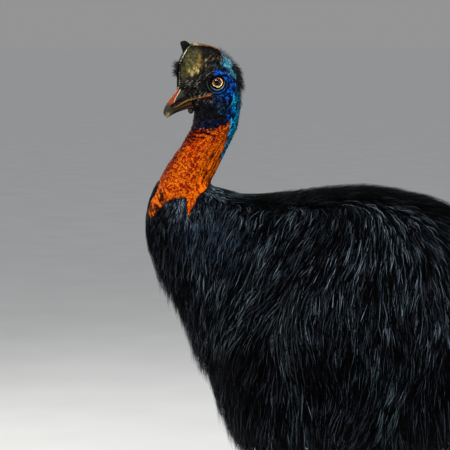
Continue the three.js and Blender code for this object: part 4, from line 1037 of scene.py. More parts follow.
# ------------------------------------------------------------------ eyes
def make_eyes(head_turn):
    for tag, side in (("L", 1.0), ("R", -1.0)):
        e = np.array([side * EC, -ES, 0.0])
        t = np.array([side * ES, EC, 0.0])
        up = np.array([0, 0, 1.0])
        centre = np.array([side * EYE["x"], AXIS_Y + EYE["s"], EYE["z"]])
        # profile: radius and height along the axis; the globe's back, its front, the iris, the pupil
        back = [(EYE["ball"] * math.sin(b), EYE["ball"] * math.cos(b)) for b in np.linspace(math.pi * 0.985, 0.905, 26)]
        prof = np.array(back + [(12.4, 10.0), (12.1, 9.55), (11.5, 9.3), (10.6, 9.15), (10.1, 9.1), (9.6, 9.05), (9.1, 9.0), (8.6, 8.95), (8.0, 8.9), (7.3, 8.85), (6.9, 8.75), (6.6, 8.5), (6.5, 7.9), (4.4, 7.8), (2.6, 7.75), (1.2, 7.7)])
        m = 72
        ang = np.linspace(0, 2 * np.pi, m, endpoint=False)
        r = prof[:, 0][:, None] * np.ones(m)
        r = r * (1 + 0.012 * np.sin(9 * ang + 1) * (np.abs(prof[:, 0] - 7.1) < 0.7)[:, None])
        sec = centre + e * prof[:, 1][:, None, None] + t * (r * np.cos(ang))[..., None] + up * (r * np.sin(ang))[..., None]
        fib = noise(np.stack([prof[:, 0][:, None] * 0.55 * np.ones(m), np.broadcast_to(np.degrees(ang) * 0.55, r.shape), 0 * r], -1), 2.0, 71)
        sec = sec + e * (0.16 * fib * ((prof[:, 0] > 7.0) & (prof[:, 0] < 12) & (prof[:, 1] < 9.8))[:, None])[..., None]
        v, f = lofted(turned(sec, head_turn))
        R, TH = r, np.broadcast_to(ang, r.shape)
        front = (np.arange(len(prof)) >= 27)[:, None]
        c = np.broadcast_to(rgb(0.06, 0.04, 0.04), sec.shape).copy()
        iris = paint(np.broadcast_to(rgb(0.52, 0.26, 0.035), sec.shape).copy(), rgb(0.88, 0.70, 0.34), smooth(R, 9.3, 9.9) * smooth(-np.sin(TH - 0.5), -0.9, 0.3))
        iris = paint(iris, rgb(0.36, 0.085, 0.015), smooth(-R, -9.7, -9.0))
        iris = paint(iris, rgb(0.14, 0.024, 0.008), smooth(-R, -8.6, -7.5))
        iris = paint(iris, rgb(0.30, 0.14, 0.04), 0.55 * smooth(fib, 0.0, 0.6))
        iris = paint(iris, rgb(0.10, 0.035, 0.02), smooth(R, 10.6, 11.5))
        c = np.where(front[..., None], iris, c)
        c = np.where((R < 6.75)[..., None], rgb(0.002, 0.002, 0.002), c)
        colour = np.vstack([c.reshape(-1, 3), c[0].mean(0)[None], c[-1].mean(0)[None]])
        n_ring = len(prof) - 1
        ring_of = np.repeat(np.arange(n_ring), m)
        slots = np.concatenate([(ring_of >= len(prof) - 6).astype(int), np.zeros(m, int), np.ones(m, int)])
        ob = mesh_object(f"eye_{tag}_globe", lift(v), f, colour=colour, slots=slots)
        mat = material(f"eye_{tag}_iris", rough=0.35, vary=0.10, vary_size=0.7, spec=0.4, bumps=[("noise", 0.6, 0.08, None)])
        dress(ob, mat, "eye", f"eye_{tag}")
        hole = material(f"eye_{tag}_pupil", rough=0.9, vary=0.05, vary_size=0.7, spec=0.0, rough_vary=0.02)
        ob.data.materials.append(hole)
        # cornea: a clear dome over it
        hgt, rad = 6.4, 12.7
        R0 = (rad**2 + hgt**2) / (2 * hgt)
        b = np.linspace(math.asin(rad / R0), 0.02, 20)
        outer = np.stack([R0 * np.sin(b), 10.3 + R0 * np.cos(b) - (R0 - hgt)], -1)
        inner = np.stack([(R0 - 0.45) * np.sin(b[::-1]), 10.2 + (R0 - 0.45) * np.cos(b[::-1]) - (R0 - hgt)], -1)
        prof = np.vstack([outer, inner])
        m = 56
        ang = np.linspace(0, 2 * np.pi, m, endpoint=False)
        sec = centre + e * prof[:, 1][:, None, None] + t * (prof[:, 0][:, None] * np.cos(ang))[..., None] + up * (prof[:, 0][:, None] * np.sin(ang))[..., None]
        sec = turned(sec, head_turn)
        n = len(prof)
        verts = sec.reshape(-1, 3)
        j = np.arange(m)
        faces = np.vstack([grid_faces(n, m), np.stack([(n - 1) * m + j, (n - 1) * m + (j + 1) % m, (j + 1) % m, j], -1)])
        mid_ring = faces[10 * m]
        face_n = np.cross(verts[mid_ring[1]] - verts[mid_ring[0]], verts[mid_ring[2]] - verts[mid_ring[0]])
        if face_n @ (verts[mid_ring[0]] - turned(centre, head_turn)) < 0:
            faces = faces[:, ::-1]
        ob = mesh_object(f"cornea_{tag}", lift(verts), faces)
        gm = bpy.data.materials.new(f"cornea_{tag}")
        gm.use_nodes = True
        p = gm.node_tree.nodes["Principled BSDF"]
        p.inputs["Base Color"].default_value = (1, 1, 1, 1)
        p.inputs["Roughness"].default_value = 0.02
        p.inputs["IOR"].default_value = 1.27
        p.inputs["Transmission Weight"].default_value = 1.0
        ob.visible_shadow = False
        dress(ob, gm, "eye")


# ------------------------------------------------------------------ bill
BILL = dict(
    culmen=[[-91.24, 1211], [-98.5, 1201], [-108.5, 1189.5], [-118, 1178], [-124.2, 1166], [-125.4, 1156], [-122.6, 1150.5]],
    edge=[[-70.92, 1184.2], [-81, 1180], [-90, 1175], [-98, 1170.6], [-106.5, 1166.8], [-114, 1161.5], [-119.5, 1152.5]],
    keel=[[-58.26, 1167.5], [-65, 1166], [-77, 1163.4], [-89, 1160.2], [-100.5, 1155.6], [-110, 1150.6], [-117.4, 1147]],
    half=[16.5, 15.2, 13.4, 11.2, 8.6, 5.6, 2.2],
)


def make_bill(head_turn):
    for upper in (True, False):
        n = 96
        t = np.linspace(0, 1, n)
        e, f = spline(BILL["edge"], t), spline(BILL["culmen" if upper else "keel"], t)
        w = spline([[h, 0] for h in BILL["half"]], t)[:, 0] * (1.0 if upper else 0.92)
        if upper:
            rows_ = np.array([[1, 0], [1.03, 0.12], [1.0, 0.25], [0.95, 0.4], [0.86, 0.55], [0.74, 0.68], [0.62, 0.78], [0.50, 0.86], [0.36, 0.93], [0.22, 0.975], [0.1, 0.995], [0, 1]])
        else:
            rows_ = np.array([[1, 0], [1.02, 0.12], [0.98, 0.28], [0.9, 0.5], [0.76, 0.72], [0.56, 0.88], [0.3, 0.97], [0, 1]])
        m = 44
        prof = spline(rows_, np.linspace(0, 1, m))
        X = np.concatenate([prof[:, 0], -prof[::-1, 0][1:]])
        Hh = np.concatenate([prof[:, 1], prof[::-1, 1][1:]])
        T = t[:, None] * np.ones(len(X))
        XX, HH = np.broadcast_to(X, T.shape), np.broadcast_to(Hh, T.shape)
        slit = 0.28 if upper else -0.28
        s = mix(e[:, 0][:, None], f[:, 0][:, None], HH)
        z = mix(e[:, 1][:, None] + slit, f[:, 1][:, None], HH)
        x = XX * w[:, None]
        side_ = np.sign(XX) * (np.abs(XX) > 0.12)
        if upper:
            # nostril: a long slot in the side, a swelling above it; the culmen's plate stands a little proud
            nx, along = line_distance(s, z, [(-93.0, 1182.6), (-101, 1178.2), (-109.0, 1172.4)])
            slot = smooth(-nx, -3.3, -1.9)
            groove = bell(nx, 5.0)
            plate_h = np.interp(T, [0, 0.15, 0.25, 0.35, 0.45, 0.55, 0.62, 1], [0.885, 0.835, 0.785, 0.685, 0.46, 0.12, -0.3, -0.6])
            plate = smooth(HH - plate_h, -0.015, 0.035)
            ridge = bell(HH - plate_h - 0.008, 0.020) * smooth(-T, -0.60, -0.52)
            swell, _ = line_distance(s, z, [(-80, 1194), (-92, 1190), (-101, 1184)])
            x = x + side_ * (-3.0 * slot - 1.0 * groove + 1.0 * bell(swell, 4.0) + 0.5 * plate * (HH < 0.95) + 0.55 * ridge)
        else:
            slot = plate = ridge = np.zeros(T.shape)
            swell = np.full(T.shape, 99.0)
            x = x - side_ * 0.6 * bell(HH - 0.45, 0.12) * smooth(-T, -0.85, -0.7)
        q = np.stack([x, s, z], -1)
        mid, fine = fractal(q, 5, 81), noise(q, 1.2, 82)
        grain = noise(np.stack([HH * 16, T * 3.2, np.sign(XX)], -1), 1.0, 83)
        x = x + side_ * (0.2 * grain + 0.15 * mid)
        c = paint(np.broadcast_to(rgb(0.030, 0.027, 0.022), q.shape).copy(), rgb(0.085, 0.078, 0.06), smooth(grain + 0.6 * mid, -0.1, 0.8))
        c = paint(c, rgb(0.03, 0.027, 0.026), smooth(mid + 0.3 * fine, 0.0, 0.7) * 0.8)
        if upper:
            c = paint(c, rgb(0.15, 0.14, 0.12), 0.5 * bell(swell, 2.0) * (0.7 + 0.5 * fine))
            c = paint(c, rgb(0.014, 0.012, 0.012), 0.85 * smooth(-T, -0.34, -0.16) * smooth(HH, 0.22, 0.36) * smooth(grain + mid, -0.7, 0.2))
            orange = paint(np.broadcast_to(rgb(0.50, 0.19, 0.03), q.shape).copy(), rgb(0.28, 0.10, 0.02), smooth(grain + mid, 0.0, 0.8))
            orange = paint(orange, rgb(0.66, 0.31, 0.08), 0.6 * smooth(fine + mid, 0.2, 0.9))
            orange = paint(orange, rgb(0.17, 0.16, 0.135), smooth(T, 0.40, 0.58))
            c = paint(c, orange, plate * smooth(-T, -0.95, -0.7))
            # painted shade just under the proud edge of the culmen's plate, and a painted highlight along that edge
            c = paint(c, rgb(0.05, 0.045, 0.04), 0.8 * bell(HH - plate_h + 0.05, 0.03) * smooth(-T, -0.56, -0.48))
            c = paint(c, rgb(0.84, 0.78, 0.64), 0.95 * ridge)
            # painted shade inside the nostril slot
            c = paint(c, rgb(0.008, 0.006, 0.008), smooth(-nx, -4.2, -2.6))
            c = paint(c, rgb(0.62, 0.42, 0.16), 0.92 * bell(HH - 0.05, 0.07) * smooth(-T, -0.9, -0.7) * (0.85 + 0.3 * fine))
            c = paint(c, rgb(0.05, 0.035, 0.025), 0.85 * bell(HH - 0.18, 0.05))
        else:
            c = paint(c, rgb(0.03, 0.025, 0.022), 0.85 * bell(HH - 0.06, 0.08))
            c = paint(c, rgb(0.40, 0.27, 0.11), 0.75 * bell(HH - 0.32, 0.10) * (0.75 + 0.3 * fine))
            c = paint(c, rgb(0.56, 0.36, 0.20), 0.55 * bell(HH - 0.80, 0.07) * smooth(-T, -0.6, -0.35))
            c = paint(c, rgb(0.025, 0.02, 0.02), 0.9 * bell(HH - 0.88, 0.12) * smooth(T, 0.25, 0.5))
        c = paint(c, rgb(0.55, 0.52, 0.36), 0.9 * smooth(T, 0.78, 0.93) * (0.8 + 0.3 * fine) * smooth(np.sin(XX * 7 + 1.2 + 2 * mid), -0.9, 0.3))
        c = paint(c, rgb(0.20, 0.21, 0.15), 0.7 * bell(T - 0.76, 0.06))
        q = np.stack([x, s + AXIS_Y, z], -1)
        # root inside the head
        root = q[:1] + np.array([0, 6.0, -2.0])
        root[..., 0] *= 0.8
        q = np.concatenate([root, q])
        c = np.concatenate([c[:1], c])
        verts, faces = lofted(turned(q, head_turn))
        colour = np.vstack([c.reshape(-1, 3), c[0].mean(0)[None], c[-1].mean(0)[None]])
        name = "bill_upper" if upper else "bill_lower"
        ob = mesh_object(name + "_horn", lift(verts), faces, colour=colour)
        mat = material(name, rough=0.42, vary=0.16, vary_size=2.0, rough_vary=0.12, spec=0.09, bumps=[("noise", 0.9, 0.18, None), ("noise", 4.0, 0.3, None)])
        dress(ob, mat, "bill_horn", name)


# ------------------------------------------------------------------ casque
CASQUE_TOP = [(-92, 1262), (-89.8, 1269), (-87.0, 1276.5), (-79.0, 1290.5), (-72.8, 1299.5), (-66, 1306.5), (-60, 1308.6), (-46.6, 1308.4), (-22.9, 1304.0), (-12, 1300.5), (-3, 1297.5), (0.5, 1295.0), (3, 1289), (6, 1284), (10, 1278)]
CASQUE_RIM = [(-91.2, 1208), (-90.8, 1252), (-89.6, 1264), (-85.6, 1272), (-81.4, 1280), (-77.4, 1288), (-74.0, 1295), (-70, 1300.8), (-65.3, 1306)]


def make_casque(head_turn):
    m = 72
    t = np.unique(np.concatenate([np.linspace(0, 0.30, 96), np.linspace(0.30, 1, 104)]))
    n = len(t)
    s = mix(-92.0, 10.0, t)
    rise = smooth(t, 0, 0.22)
    top = np.interp(s, [p[0] for p in CASQUE_TOP], [p[1] for p in CASQUE_TOP])
    top = np.convolve(np.pad(top, 4, "edge"), np.ones(9) / 9, "valid")
    top[:3] = [1264, 1266, 1269]
    foot = mix(1206, 1276, t**0.85) - 6.0
    taper = 1 - 0.55 * smooth(t, 0.72, 1)
    top_half = np.interp(s, [-92, -82, -72, -62, -50, -30, 10], [3.4, 4.2, 6.0, 9.5, 13.0, 15.0, 15.5]) * taper
    base_half = mix(6.0, 21.0, smooth(t, 0.0, 0.34)) * taper
    w = np.linspace(0, 1, m)
    rows_h = np.array([0, 0.2, 0.4, 0.6, 0.76, 0.90, 0.95, 0.975, 0.99, 1.0, 1.0])
    T = t[:, None] * np.ones(m)
    HW = np.stack([base_half, base_half, base_half * 0.96, mix(base_half, top_half, 0.45), mix(base_half, top_half, 0.75), top_half * 0.97, top_half, top_half * 0.99, top_half * 0.93, top_half * 0.55, 0 * top_half], 1)
    u = np.interp(w, np.linspace(0, 1, 11), np.linspace(0, 10, 11))
    i = np.minimum(u.astype(int), 9)
    f = u - i
    H = np.array([rows_h[a] * (1 - b) + rows_h[min(a + 1, 10)] * b for a, b in zip(i, f)])
    W = HW[:, i] * (1 - f) + HW[:, np.minimum(i + 1, 10)] * f
    HH = np.broadcast_to(H, W.shape)
    z = foot[:, None] + (top - foot)[:, None] * HH
    S = s[:, None] * np.ones(m)
    side_face = smooth(-HH, -0.985, -0.955)
    q0 = np.stack([W, S, z], -1)
    drim, _ = line_distance(S, z, CASQUE_RIM)
    ahead = inside(S, z, CASQUE_RIM + [(-65.5, 1330), (-120, 1330), (-120, 1214)])
    sides = []
    cols = []
    for sd in (1.0, -1.0):
        q = q0 * (sd, 1, 1)
        mid, fine, wide = fractal(q, 6, 91 + int(sd)), noise(q, 1.8, 92), fractal(q, 16, 93)
        speck = noise(q, 3.0, 99)
        below = top[:, None] - z
        behind = smooth(S, -67, -63)
        # worn plate on top whose lower edge is crenate; its paler tan is partly painted light from above
        edge = 3.4 + 1.6 * np.abs(np.sin(S / 5.6 + 0.6)) + 1.3 * np.sin(S / 11.0) + 0.9 * mid
        plate = smooth(edge - below, -0.9, 0.9) * behind * smooth(-S, 0, 3)
        step = bell(below - edge - 1.8, 1.8) * behind * side_face
        rim = bell(drim, 1.5) * side_face * smooth(z, 1210, 1218)
        hollow = smooth(drim, 2.0, 5.0) * smooth(-drim, -24, -9) * smooth(-HH, -0.96, -0.8) * smooth(z, 1226, 1240)
        diag = noise(np.stack([(S * 0.72 - z * 0.72), (S + z) * 0.16, 0 * S + sd], -1), 3.0, 94)
        rough = smooth(T, 0.40, 0.58)
        h = 1.6 * plate * side_face - 2.2 * step + 1.9 * rim - 2.4 * hollow
        h = h + (1.0 * diag + 0.35 * fine) * rough * side_face + 0.5 * mid * side_face + 0.7 * wide * side_face
        knob = bell(np.hypot(S + 1, (z - 1276) / 1.25) - 4.2, 1.5)
        h = h + 1.6 * knob * (1 + 0.5 * fine)
        c1, c2, cwho = cells(q, 4.2, 95)
        pits = smooth(-c1, -0.28, 0.0)
        h = h - 0.9 * pits * side_face * (1 - 0.6 * rough)
        # cere wrinkles where the foot runs into the skin
        lowdf = foot_line(S) - z
        mid13 = fractal(q, 7, 13)
        bands = np.sin(2 * np.pi * (lowdf + 1.6 * mid13 + 0.25 * (S + 80)) / 4.3)
        cere = smooth(-S, 60, 68) * smooth(lowdf, -8, -3)
        h = h + 0.9 * bands * cere * side_face
        W2 = np.maximum(W + h * smooth(W, 0.0, 4.0), 0.0)
        zz = z + 0.4 * fine * (1 - side_face) + 0.9 * mid * smooth(HH, 0.97, 1.0) * behind
        sides.append(np.stack([sd * W2, S, zz], -1))
        # colours
        dapple = 1.5 * noise(q, 4.4, 104)
        c = paint(np.broadcast_to(rgb(0.20, 0.195, 0.085), q.shape).copy(), rgb(0.09, 0.09, 0.04), smooth(mid + 0.6 * dapple, -0.1, 0.7))
        c = paint(c, rgb(0.38, 0.36, 0.19), 0.75 * smooth(wide + 0.6 * dapple + 0.3 * speck, 0.25, 1.0))
        c = paint(c, rgb(0.07, 0.06, 0.035), 0.8 * smooth(cwho, 0.66, 0.80) * smooth(-c1, -0.5, -0.2))
        d1, _ = line_distance(S, z, [(-50, 1284), (-47, 1275), (-50, 1266), (-56, 1257), (-62, 1247), (-63, 1238)])
        half_w = np.interp(z, [1234, 1246, 1258, 1268, 1284, 1298], [6, 9.0, 8.5, 5.5, 4.5, 2])
        scuff = smooth(half_w - d1 + 2.6 * mid + 1.8 * speck, -1.5, 2.0)
        c = paint(c, rgb(0.43, 0.36, 0.19), 0.85 * scuff * smooth(-T, -0.62, -0.45) * smooth(dapple + 0.5 * mid, -0.9, 0.1))
        c = paint(c, rgb(0.68, 0.61, 0.41), 0.9 * scuff * smooth(mid + 0.8 * dapple + 0.4 * speck, 0.1, 0.9) * smooth(-z, -1268, -1254))
        c = paint(c, rgb(0.30, 0.17, 0.09), 0.8 * scuff * smooth(cells(q, 3.4, 100)[2], 0.80, 0.90) * smooth(z, 1250, 1262))
        c = paint(c, rgb(0.46, 0.27, 0.13), 0.7 * bell(np.hypot((S + 48) / 6, (z - 1275) / 10), 1.0) * smooth(mid + speck, -0.4, 0.4))
        dark = smooth(T + 0.05 * mid + 0.06 * wide + 0.02 * speck, 0.44, 0.55)
        brown = paint(np.broadcast_to(rgb(0.055, 0.045, 0.032), q.shape).copy(), rgb(0.18, 0.155, 0.11), smooth(diag + 0.5 * dapple, 0.1, 0.7))
        brown = paint(brown, rgb(0.50, 0.45, 0.34), 0.8 * smooth(diag + 0.35 * dapple, 0.35, 0.75) * smooth(-np.abs(S + 28), -18, -6) * smooth(-z, -1290, -1276))
        brown = paint(brown, rgb(0.02, 0.016, 0.014), 0.8 * smooth(-diag - 0.3 * dapple, 0.15, 0.6))
        # painted shadow high on the hind part, under the overhang of the top plate
        brown = paint(brown, rgb(0.025, 0.02, 0.022), 0.75 * smooth(z, 1282, 1294))
        c = paint(c, brown, dark)
        # painted shadow in the step under the top plate's crenate edge
        c = paint(c, rgb(0.035, 0.028, 0.03), 0.92 * bell(below - edge - 4.4, mix(3.2, 5.2, smooth(S, -66, -48))) * behind * side_face)
        floor_dark = smooth(-z - 3 * dapple, -np.interp(S, [-92, -66, -50, -38], [1240, 1240, 1252, 1262]), -np.interp(S, [-92, -66, -50, -38], [1232, 1232, 1244, 1254]))
        c = paint(c, mix(rgb(0.035, 0.032, 0.03), rgb(0.13, 0.125, 0.105), smooth(dapple + 0.5 * diag, 0.0, 0.8)[..., None]), 0.92 * floor_dark * side_face)
        # cere: painted shade in the troughs of the wrinkles, painted highlight on their crests
        c = paint(c, rgb(0.03, 0.028, 0.03), 0.9 * cere * smooth(-bands, -0.3, 0.4))
        c = paint(c, rgb(0.44, 0.43, 0.39), 0.75 * cere * smooth(bands + 0.5 * dapple, 0.8, 1.2))
        # the plate and the top edge are painted paler tan: partly the plate's own worn colour, partly painted light
        # falling from above
        c = paint(c, mix(rgb(0.62, 0.56, 0.42), rgb(0.60, 0.38, 0.17), smooth(T, 0.34, 0.55)[..., None]), plate * np.clip(0.75 + 0.5 * dapple, 0, 1))
        c = paint(c, rgb(0.32, 0.21, 0.13), 0.75 * plate * smooth(cells(q, 5.0, 96)[2], 0.62, 0.78))
        c = paint(c, rgb(0.50, 0.38, 0.20), 0.8 * smooth(HH, 0.985, 1.0) * behind * smooth(-S, 0, 3) * np.clip(0.8 + 0.5 * dapple, 0, 1))
        # painted highlight along the raised front rim, strongest high up, and painted shade in the hollow just behind
        # the rim
        rim_highlight = smooth(z, 1268, 1282) + 0.75 * smooth(-z, -1282, -1268) * smooth(np.sin(z * 2 * np.pi / 5.2 + 1.5 * mid), -0.1, 0.5)
        c = paint(c, rgb(0.02, 0.018, 0.02), 0.92 * bell(drim - 1.5, 3.2) * side_face * smooth(z, 1212, 1220))
        broken = np.clip(0.70 + 0.75 * dapple + 0.4 * speck, 0.25, 1.0)
        c = paint(c, rgb(0.84, 0.80, 0.68), 0.95 * rim * rim_highlight * broken)
        c = paint(c, rgb(0.016, 0.013, 0.014), smooth(ahead, 0.6, 1.8))
        c = paint(c, rgb(0.016, 0.013, 0.014), smooth(HH, 0.965, 0.985) * (1 - behind))
        around = np.hypot((S + 1) / 1.0, (z - 1276) / 1.25)
        c = paint(c, rgb(0.03, 0.025, 0.022), 0.9 * smooth(-around, -8.5, -6.5))
        c = paint(c, rgb(0.46, 0.34, 0.20), 0.9 * bell(around - 4.2, 1.3) * np.clip(0.8 + 0.5 * dapple, 0, 1))
        cols.append(c)
    ring = np.concatenate([sides[0], sides[1][:, ::-1][:, 1:]], 1)
    cring = np.concatenate([cols[0], cols[1][:, ::-1][:, 1:]], 1)
    # the front face between the rims is hollow
    first = ring[:1].copy()
    first[..., 0] *= 0.72
    first[..., 1] -= -1.2
    inner = ring[:1].copy()
    inner[..., 0] *= 0.5
    inner[..., 1] += 3.2
    inner[..., 2] = mix(ring[:1, :, 2], 1240, 0.12)
    first[..., 2] = mix(ring[:1, :, 2], 1240, 0.05)
    ring = np.concatenate([inner, first, ring])
    dark3 = np.broadcast_to(rgb(0.016, 0.013, 0.014), ring[:2].shape)
    cring = np.concatenate([dark3, cring])
    ring[..., 1] += AXIS_Y
    body = lofted(ring)
    body_c = np.vstack([cring.reshape(-1, 3), cring[0].mean(0)[None], cring[-1].mean(0)[None]])
    # the front knob: a rolled lump at the top of the front, drawn out down it
    uu, vv = np.meshgrid(np.linspace(0.03, np.pi - 0.03, 60), np.linspace(0, 2 * np.pi, 72, endpoint=False), indexing="ij")
    sph = np.stack([np.sin(uu) * np.cos(vv), np.sin(uu) * np.sin(vv), np.cos(uu)], -1)
    tail_ = smooth(-sph[..., 2], -0.15, 1.0)
    blob = np.stack([sph[..., 0] * 7.8 * (1 - 0.5 * tail_), sph[..., 1] * (10.2 - 7.4 * tail_), sph[..., 2] * np.where(sph[..., 2] > 0, 6.5, 22.0)], -1)
    blob = blob * (1 + 0.12 * fractal(blob, 5, 97)[..., None])
    ang = math.radians(-6)
    blob = np.stack([blob[..., 0], blob[..., 1] * math.cos(ang) - blob[..., 2] * math.sin(ang), blob[..., 1] * math.sin(ang) + blob[..., 2] * math.cos(ang)], -1)
    blob = blob + (0, AXIS_Y - 76.2, 1307.0)
    knob = lofted(blob)
    knob_c = np.broadcast_to(rgb(0.035, 0.03, 0.034), (len(knob[0]), 3)).copy()
    knob_c = paint(knob_c, rgb(0.13, 0.11, 0.10), 0.7 * smooth(noise(knob[0], 2.5, 98), 0.2, 0.8))
    v, f = joined([body, knob])
    v = turned(v, head_turn)
    ob = mesh_object("casque_horn", lift(v), f, colour=np.vstack([body_c, knob_c]))
    mat = material("casque", rough=0.52, vary=0.20, vary_size=2.2, rough_vary=0.15, spec=0.09,
                   bumps=[("noise", 1.0, 0.35, None), ("noise", 4.0, 0.6, None)])
    dress(ob, mat, "casque_horn", "casque")


def make_wattle(head_turn):
    uu, vv = np.meshgrid(np.linspace(0.02, np.pi - 0.02, 60), np.linspace(0, 2 * np.pi, 80, endpoint=False), indexing="ij")
    sph = np.stack([np.sin(uu) * np.cos(vv), np.sin(uu) * np.sin(vv), np.cos(uu)], -1)
    neck = smooth(sph[..., 2], 0.1, 1.0)
    p = sph * (5.8, 6.4, 6.6) * (1 - 0.3 * neck)[..., None]
    p[..., 2] += 4.0 * neck
    f1, f2, who = cells(p, 1.9, 101)
    p = p * (1 + 0.06 * (smooth(f2 - f1, 0.0, 0.4) - 0.5) + 0.04 * noise(p, 4, 102))[..., None]
    p = p + (0, AXIS_Y - 62.3, 1162.0)
    v, f = lofted(turned(p, head_turn))
    c = paint(np.broadcast_to(rgb(0.035, 0.032, 0.04), (len(v), 3)).copy(), rgb(0.17, 0.155, 0.18), 0.6 * smooth(noise(v, 2.0, 103), 0.1, 0.8))
    ob = mesh_object("wattle_knob", lift(v), f, colour=c)
    dress(ob, material("wattle", rough=0.42, vary=0.12, vary_size=1.0, spec=0.35, bumps=[("noise", 0.8, 0.15, None)]), "skin_black", "wattle")


# ------------------------------------------------------------------ claws
def make_claws():
    LEG_X, FOOT_Y = 92.0, 82.0
    mat = material("claw", rough=0.36, vary=0.14, vary_size=2.0, rough_vary=0.12, bumps=[("noise", 1.2, 0.15, None)], coat=0.15, coat_rough=0.25)
    for tag, side in (("L", 1), ("R", -1)):
        for name, angle, length, tip, claw, half0, drop in (("inner", -27, 78, 14.5, 96, 9, 3), ("middle", 4, 140, 14, 42, 9.5, 10), ("outer", 36, 104, 12.5, 34, 8, 9)):
            a = math.radians(angle) * side
            d, w = np.array([math.sin(a), -math.cos(a), 0]), np.array([math.cos(a), math.sin(a), 0])
            base = np.array([side * LEG_X, FOOT_Y - 6, 0.0])
            t = np.linspace(-0.12, 1, 50)
            tt = np.maximum(t, 0)
            half = half0 * (1 - 0.95 * tt**1.25)
            high = half0 * 1.1 * (1 - 0.94 * tt**1.2)
            mid_z = np.maximum(high * 0.98, tip + drop * 0.3 - (tip + drop * 0.3 - 1.2) * tt**1.35)
            b = np.linspace(0, 2 * np.pi, 36, endpoint=False)
            zz = np.where(np.cos(b) >= 0, high[:, None], 0.9 * high[:, None]) * np.cos(b)
            ridge = 1 + 0.02 * np.cos(t * 60)[:, None]
            sec = base + ((length - 1 + t * claw))[:, None, None] * d + (half[:, None] * np.sin(b) * ridge * (1 - 0.12 * np.maximum(np.cos(b), 0)))[..., None] * w
            sec[..., 2] = np.maximum(mid_z[:, None] + zz, 0.15)
            v, f = lofted(sec)
            T = np.concatenate([np.repeat(t, 36), [0, 1]])
            g = noise(v * (1, 1, 1), 3.0, 111)
            c = paint(np.broadcast_to(rgb(0.17, 0.155, 0.14), v.shape).copy(), rgb(0.30, 0.27, 0.23), smooth(g, 0.0, 0.8) * 0.7)
            c = paint(c, rgb(0.42, 0.38, 0.31), 0.6 * smooth(T, 0.75, 1.0))
            ob = mesh_object(f"claw_{name}_{tag}_horn", lift(v), f, colour=c)
            dress(ob, mat, "claw_horn", f"claw_{name}_{tag}")


# ------------------------------------------------------------------ plumage
# The lie of the coat, as comb strokes on the flank: place along and up the body, and the angle of the
# strands from straight down, positive towards the tail.
STROKES = np.array([
    # along the body, up, angle to the tail
    (-359, 912, -4), (-369, 848, -6), (-338, 870, -4), (-316, 934, -2), (-295, 891, -4), (-338, 785, -8), (-274, 902, -4),
    (-252, 923, -10), (-263, 848, -8), (-231, 880, -8), (-284, 785, -12), (-295, 699, -16), (-199, 951, -8), (-178, 923, -10),
    (-146, 944, -6), (-114, 923, -14), (-93, 944, -28), (-71, 951, -4), (-29, 951, 0), (-7, 944, 0), (-199, 870, -8),
    (-156, 859, -14), (-114, 870, -22), (-71, 880, -20), (-29, 880, -22), (14, 891, -16), (-178, 795, -24), (-135, 816, -34),
    (-103, 827, -34), (-71, 827, -26), (-39, 816, -24), (3, 816, -14), (-231, 763, -14), (-199, 731, -26), (-156, 742, -36),
    (-114, 753, -28), (-71, 763, -12), (-29, 763, -10), (14, 763, -10), (-252, 667, -24), (-210, 667, -30), (-167, 678, -30),
    (-135, 678, -16), (-103, 689, -4), (-71, 689, 12), (-50, 667, 14), (-7, 689, -4), (35, 710, -14), (78, 710, -10),
    (120, 721, -6), (174, 721, -6), (227, 721, 0), (-231, 604, -20), (-188, 593, -18), (-146, 604, -10), (-107, 625, 4),
    (-82, 604, 18), (-50, 604, 12), (-7, 604, 0), (35, 625, -6), (67, 614, 4), (110, 614, -6), (163, 614, -6), (227, 614, -2),
    (-199, 508, -10), (-146, 508, -4), (-103, 518, 4), (-84, 476, 8), (-39, 508, 0), (14, 508, -10), (52, 486, -34),
    (78, 518, -22), (110, 529, -8), (131, 497, -14), (152, 486, 10), (184, 486, 8), (227, 486, 0), (25, 966, 25),
    (57, 959, 18), (99, 955, 28), (131, 955, 40), (174, 951, 50), (216, 951, 55), (242, 923, 50), (25, 923, -6), (57, 923, -3),
    (78, 912, -5), (110, 912, -10), (142, 917, 5), (178, 917, 5), (206, 917, 35), (227, 902, 35), (25, 870, -28),
    (50, 870, -25), (78, 870, -12), (110, 880, -12), (142, 880, -8), (174, 880, 0), (195, 870, 5), (221, 870, 22),
    (238, 859, 25), (35, 827, -20), (78, 816, -5), (116, 827, -20), (142, 827, -8), (174, 838, 0), (206, 827, 0),
    (231, 816, 12), (57, 785, -10), (99, 785, -3), (142, 785, -12), (184, 795, -8), (227, 785, 10), (275, 868, 38),
    (300, 800, 22), (300, 700, 8), (290, 560, 2), (330, 830, 44), (360, 740, 26), (370, 620, 14), (420, 740, 34),
    (430, 640, 16),
], float)
BACK_LINE = STATIONS[16:, 0:2]


def lie(p):
    """Direction of the strands at points of the flank: seen from the side, down and to the tail by an angle."""
    y, z = p[..., 1], p[..., 2]
    d2 = (y[..., None] - STROKES[:, 0]) ** 2 + (z[..., None] - STROKES[:, 1]) ** 2
    wide = np.where(STROKES[:, 0] > 255, 58.0, 29.0)
    w = np.exp(-d2 / (2 * wide**2)) + 1e-7 / (1 + d2)
    ang = (w * STROKES[:, 2]).sum(-1) / w.sum(-1)
    # close under the line of the back the strands lie along it
    line = np.interp(y, BACK_LINE[:, 0], BACK_LINE[:, 1])
    below = line - z
    ahead = smooth(y, -300, -215)
    reach = mix(28.0, 50.0, smooth(y, -160, -30))
    ang = mix(ang, 80, smooth(-below / reach, -1, -0.36) * ahead)
    return np.radians(ang)


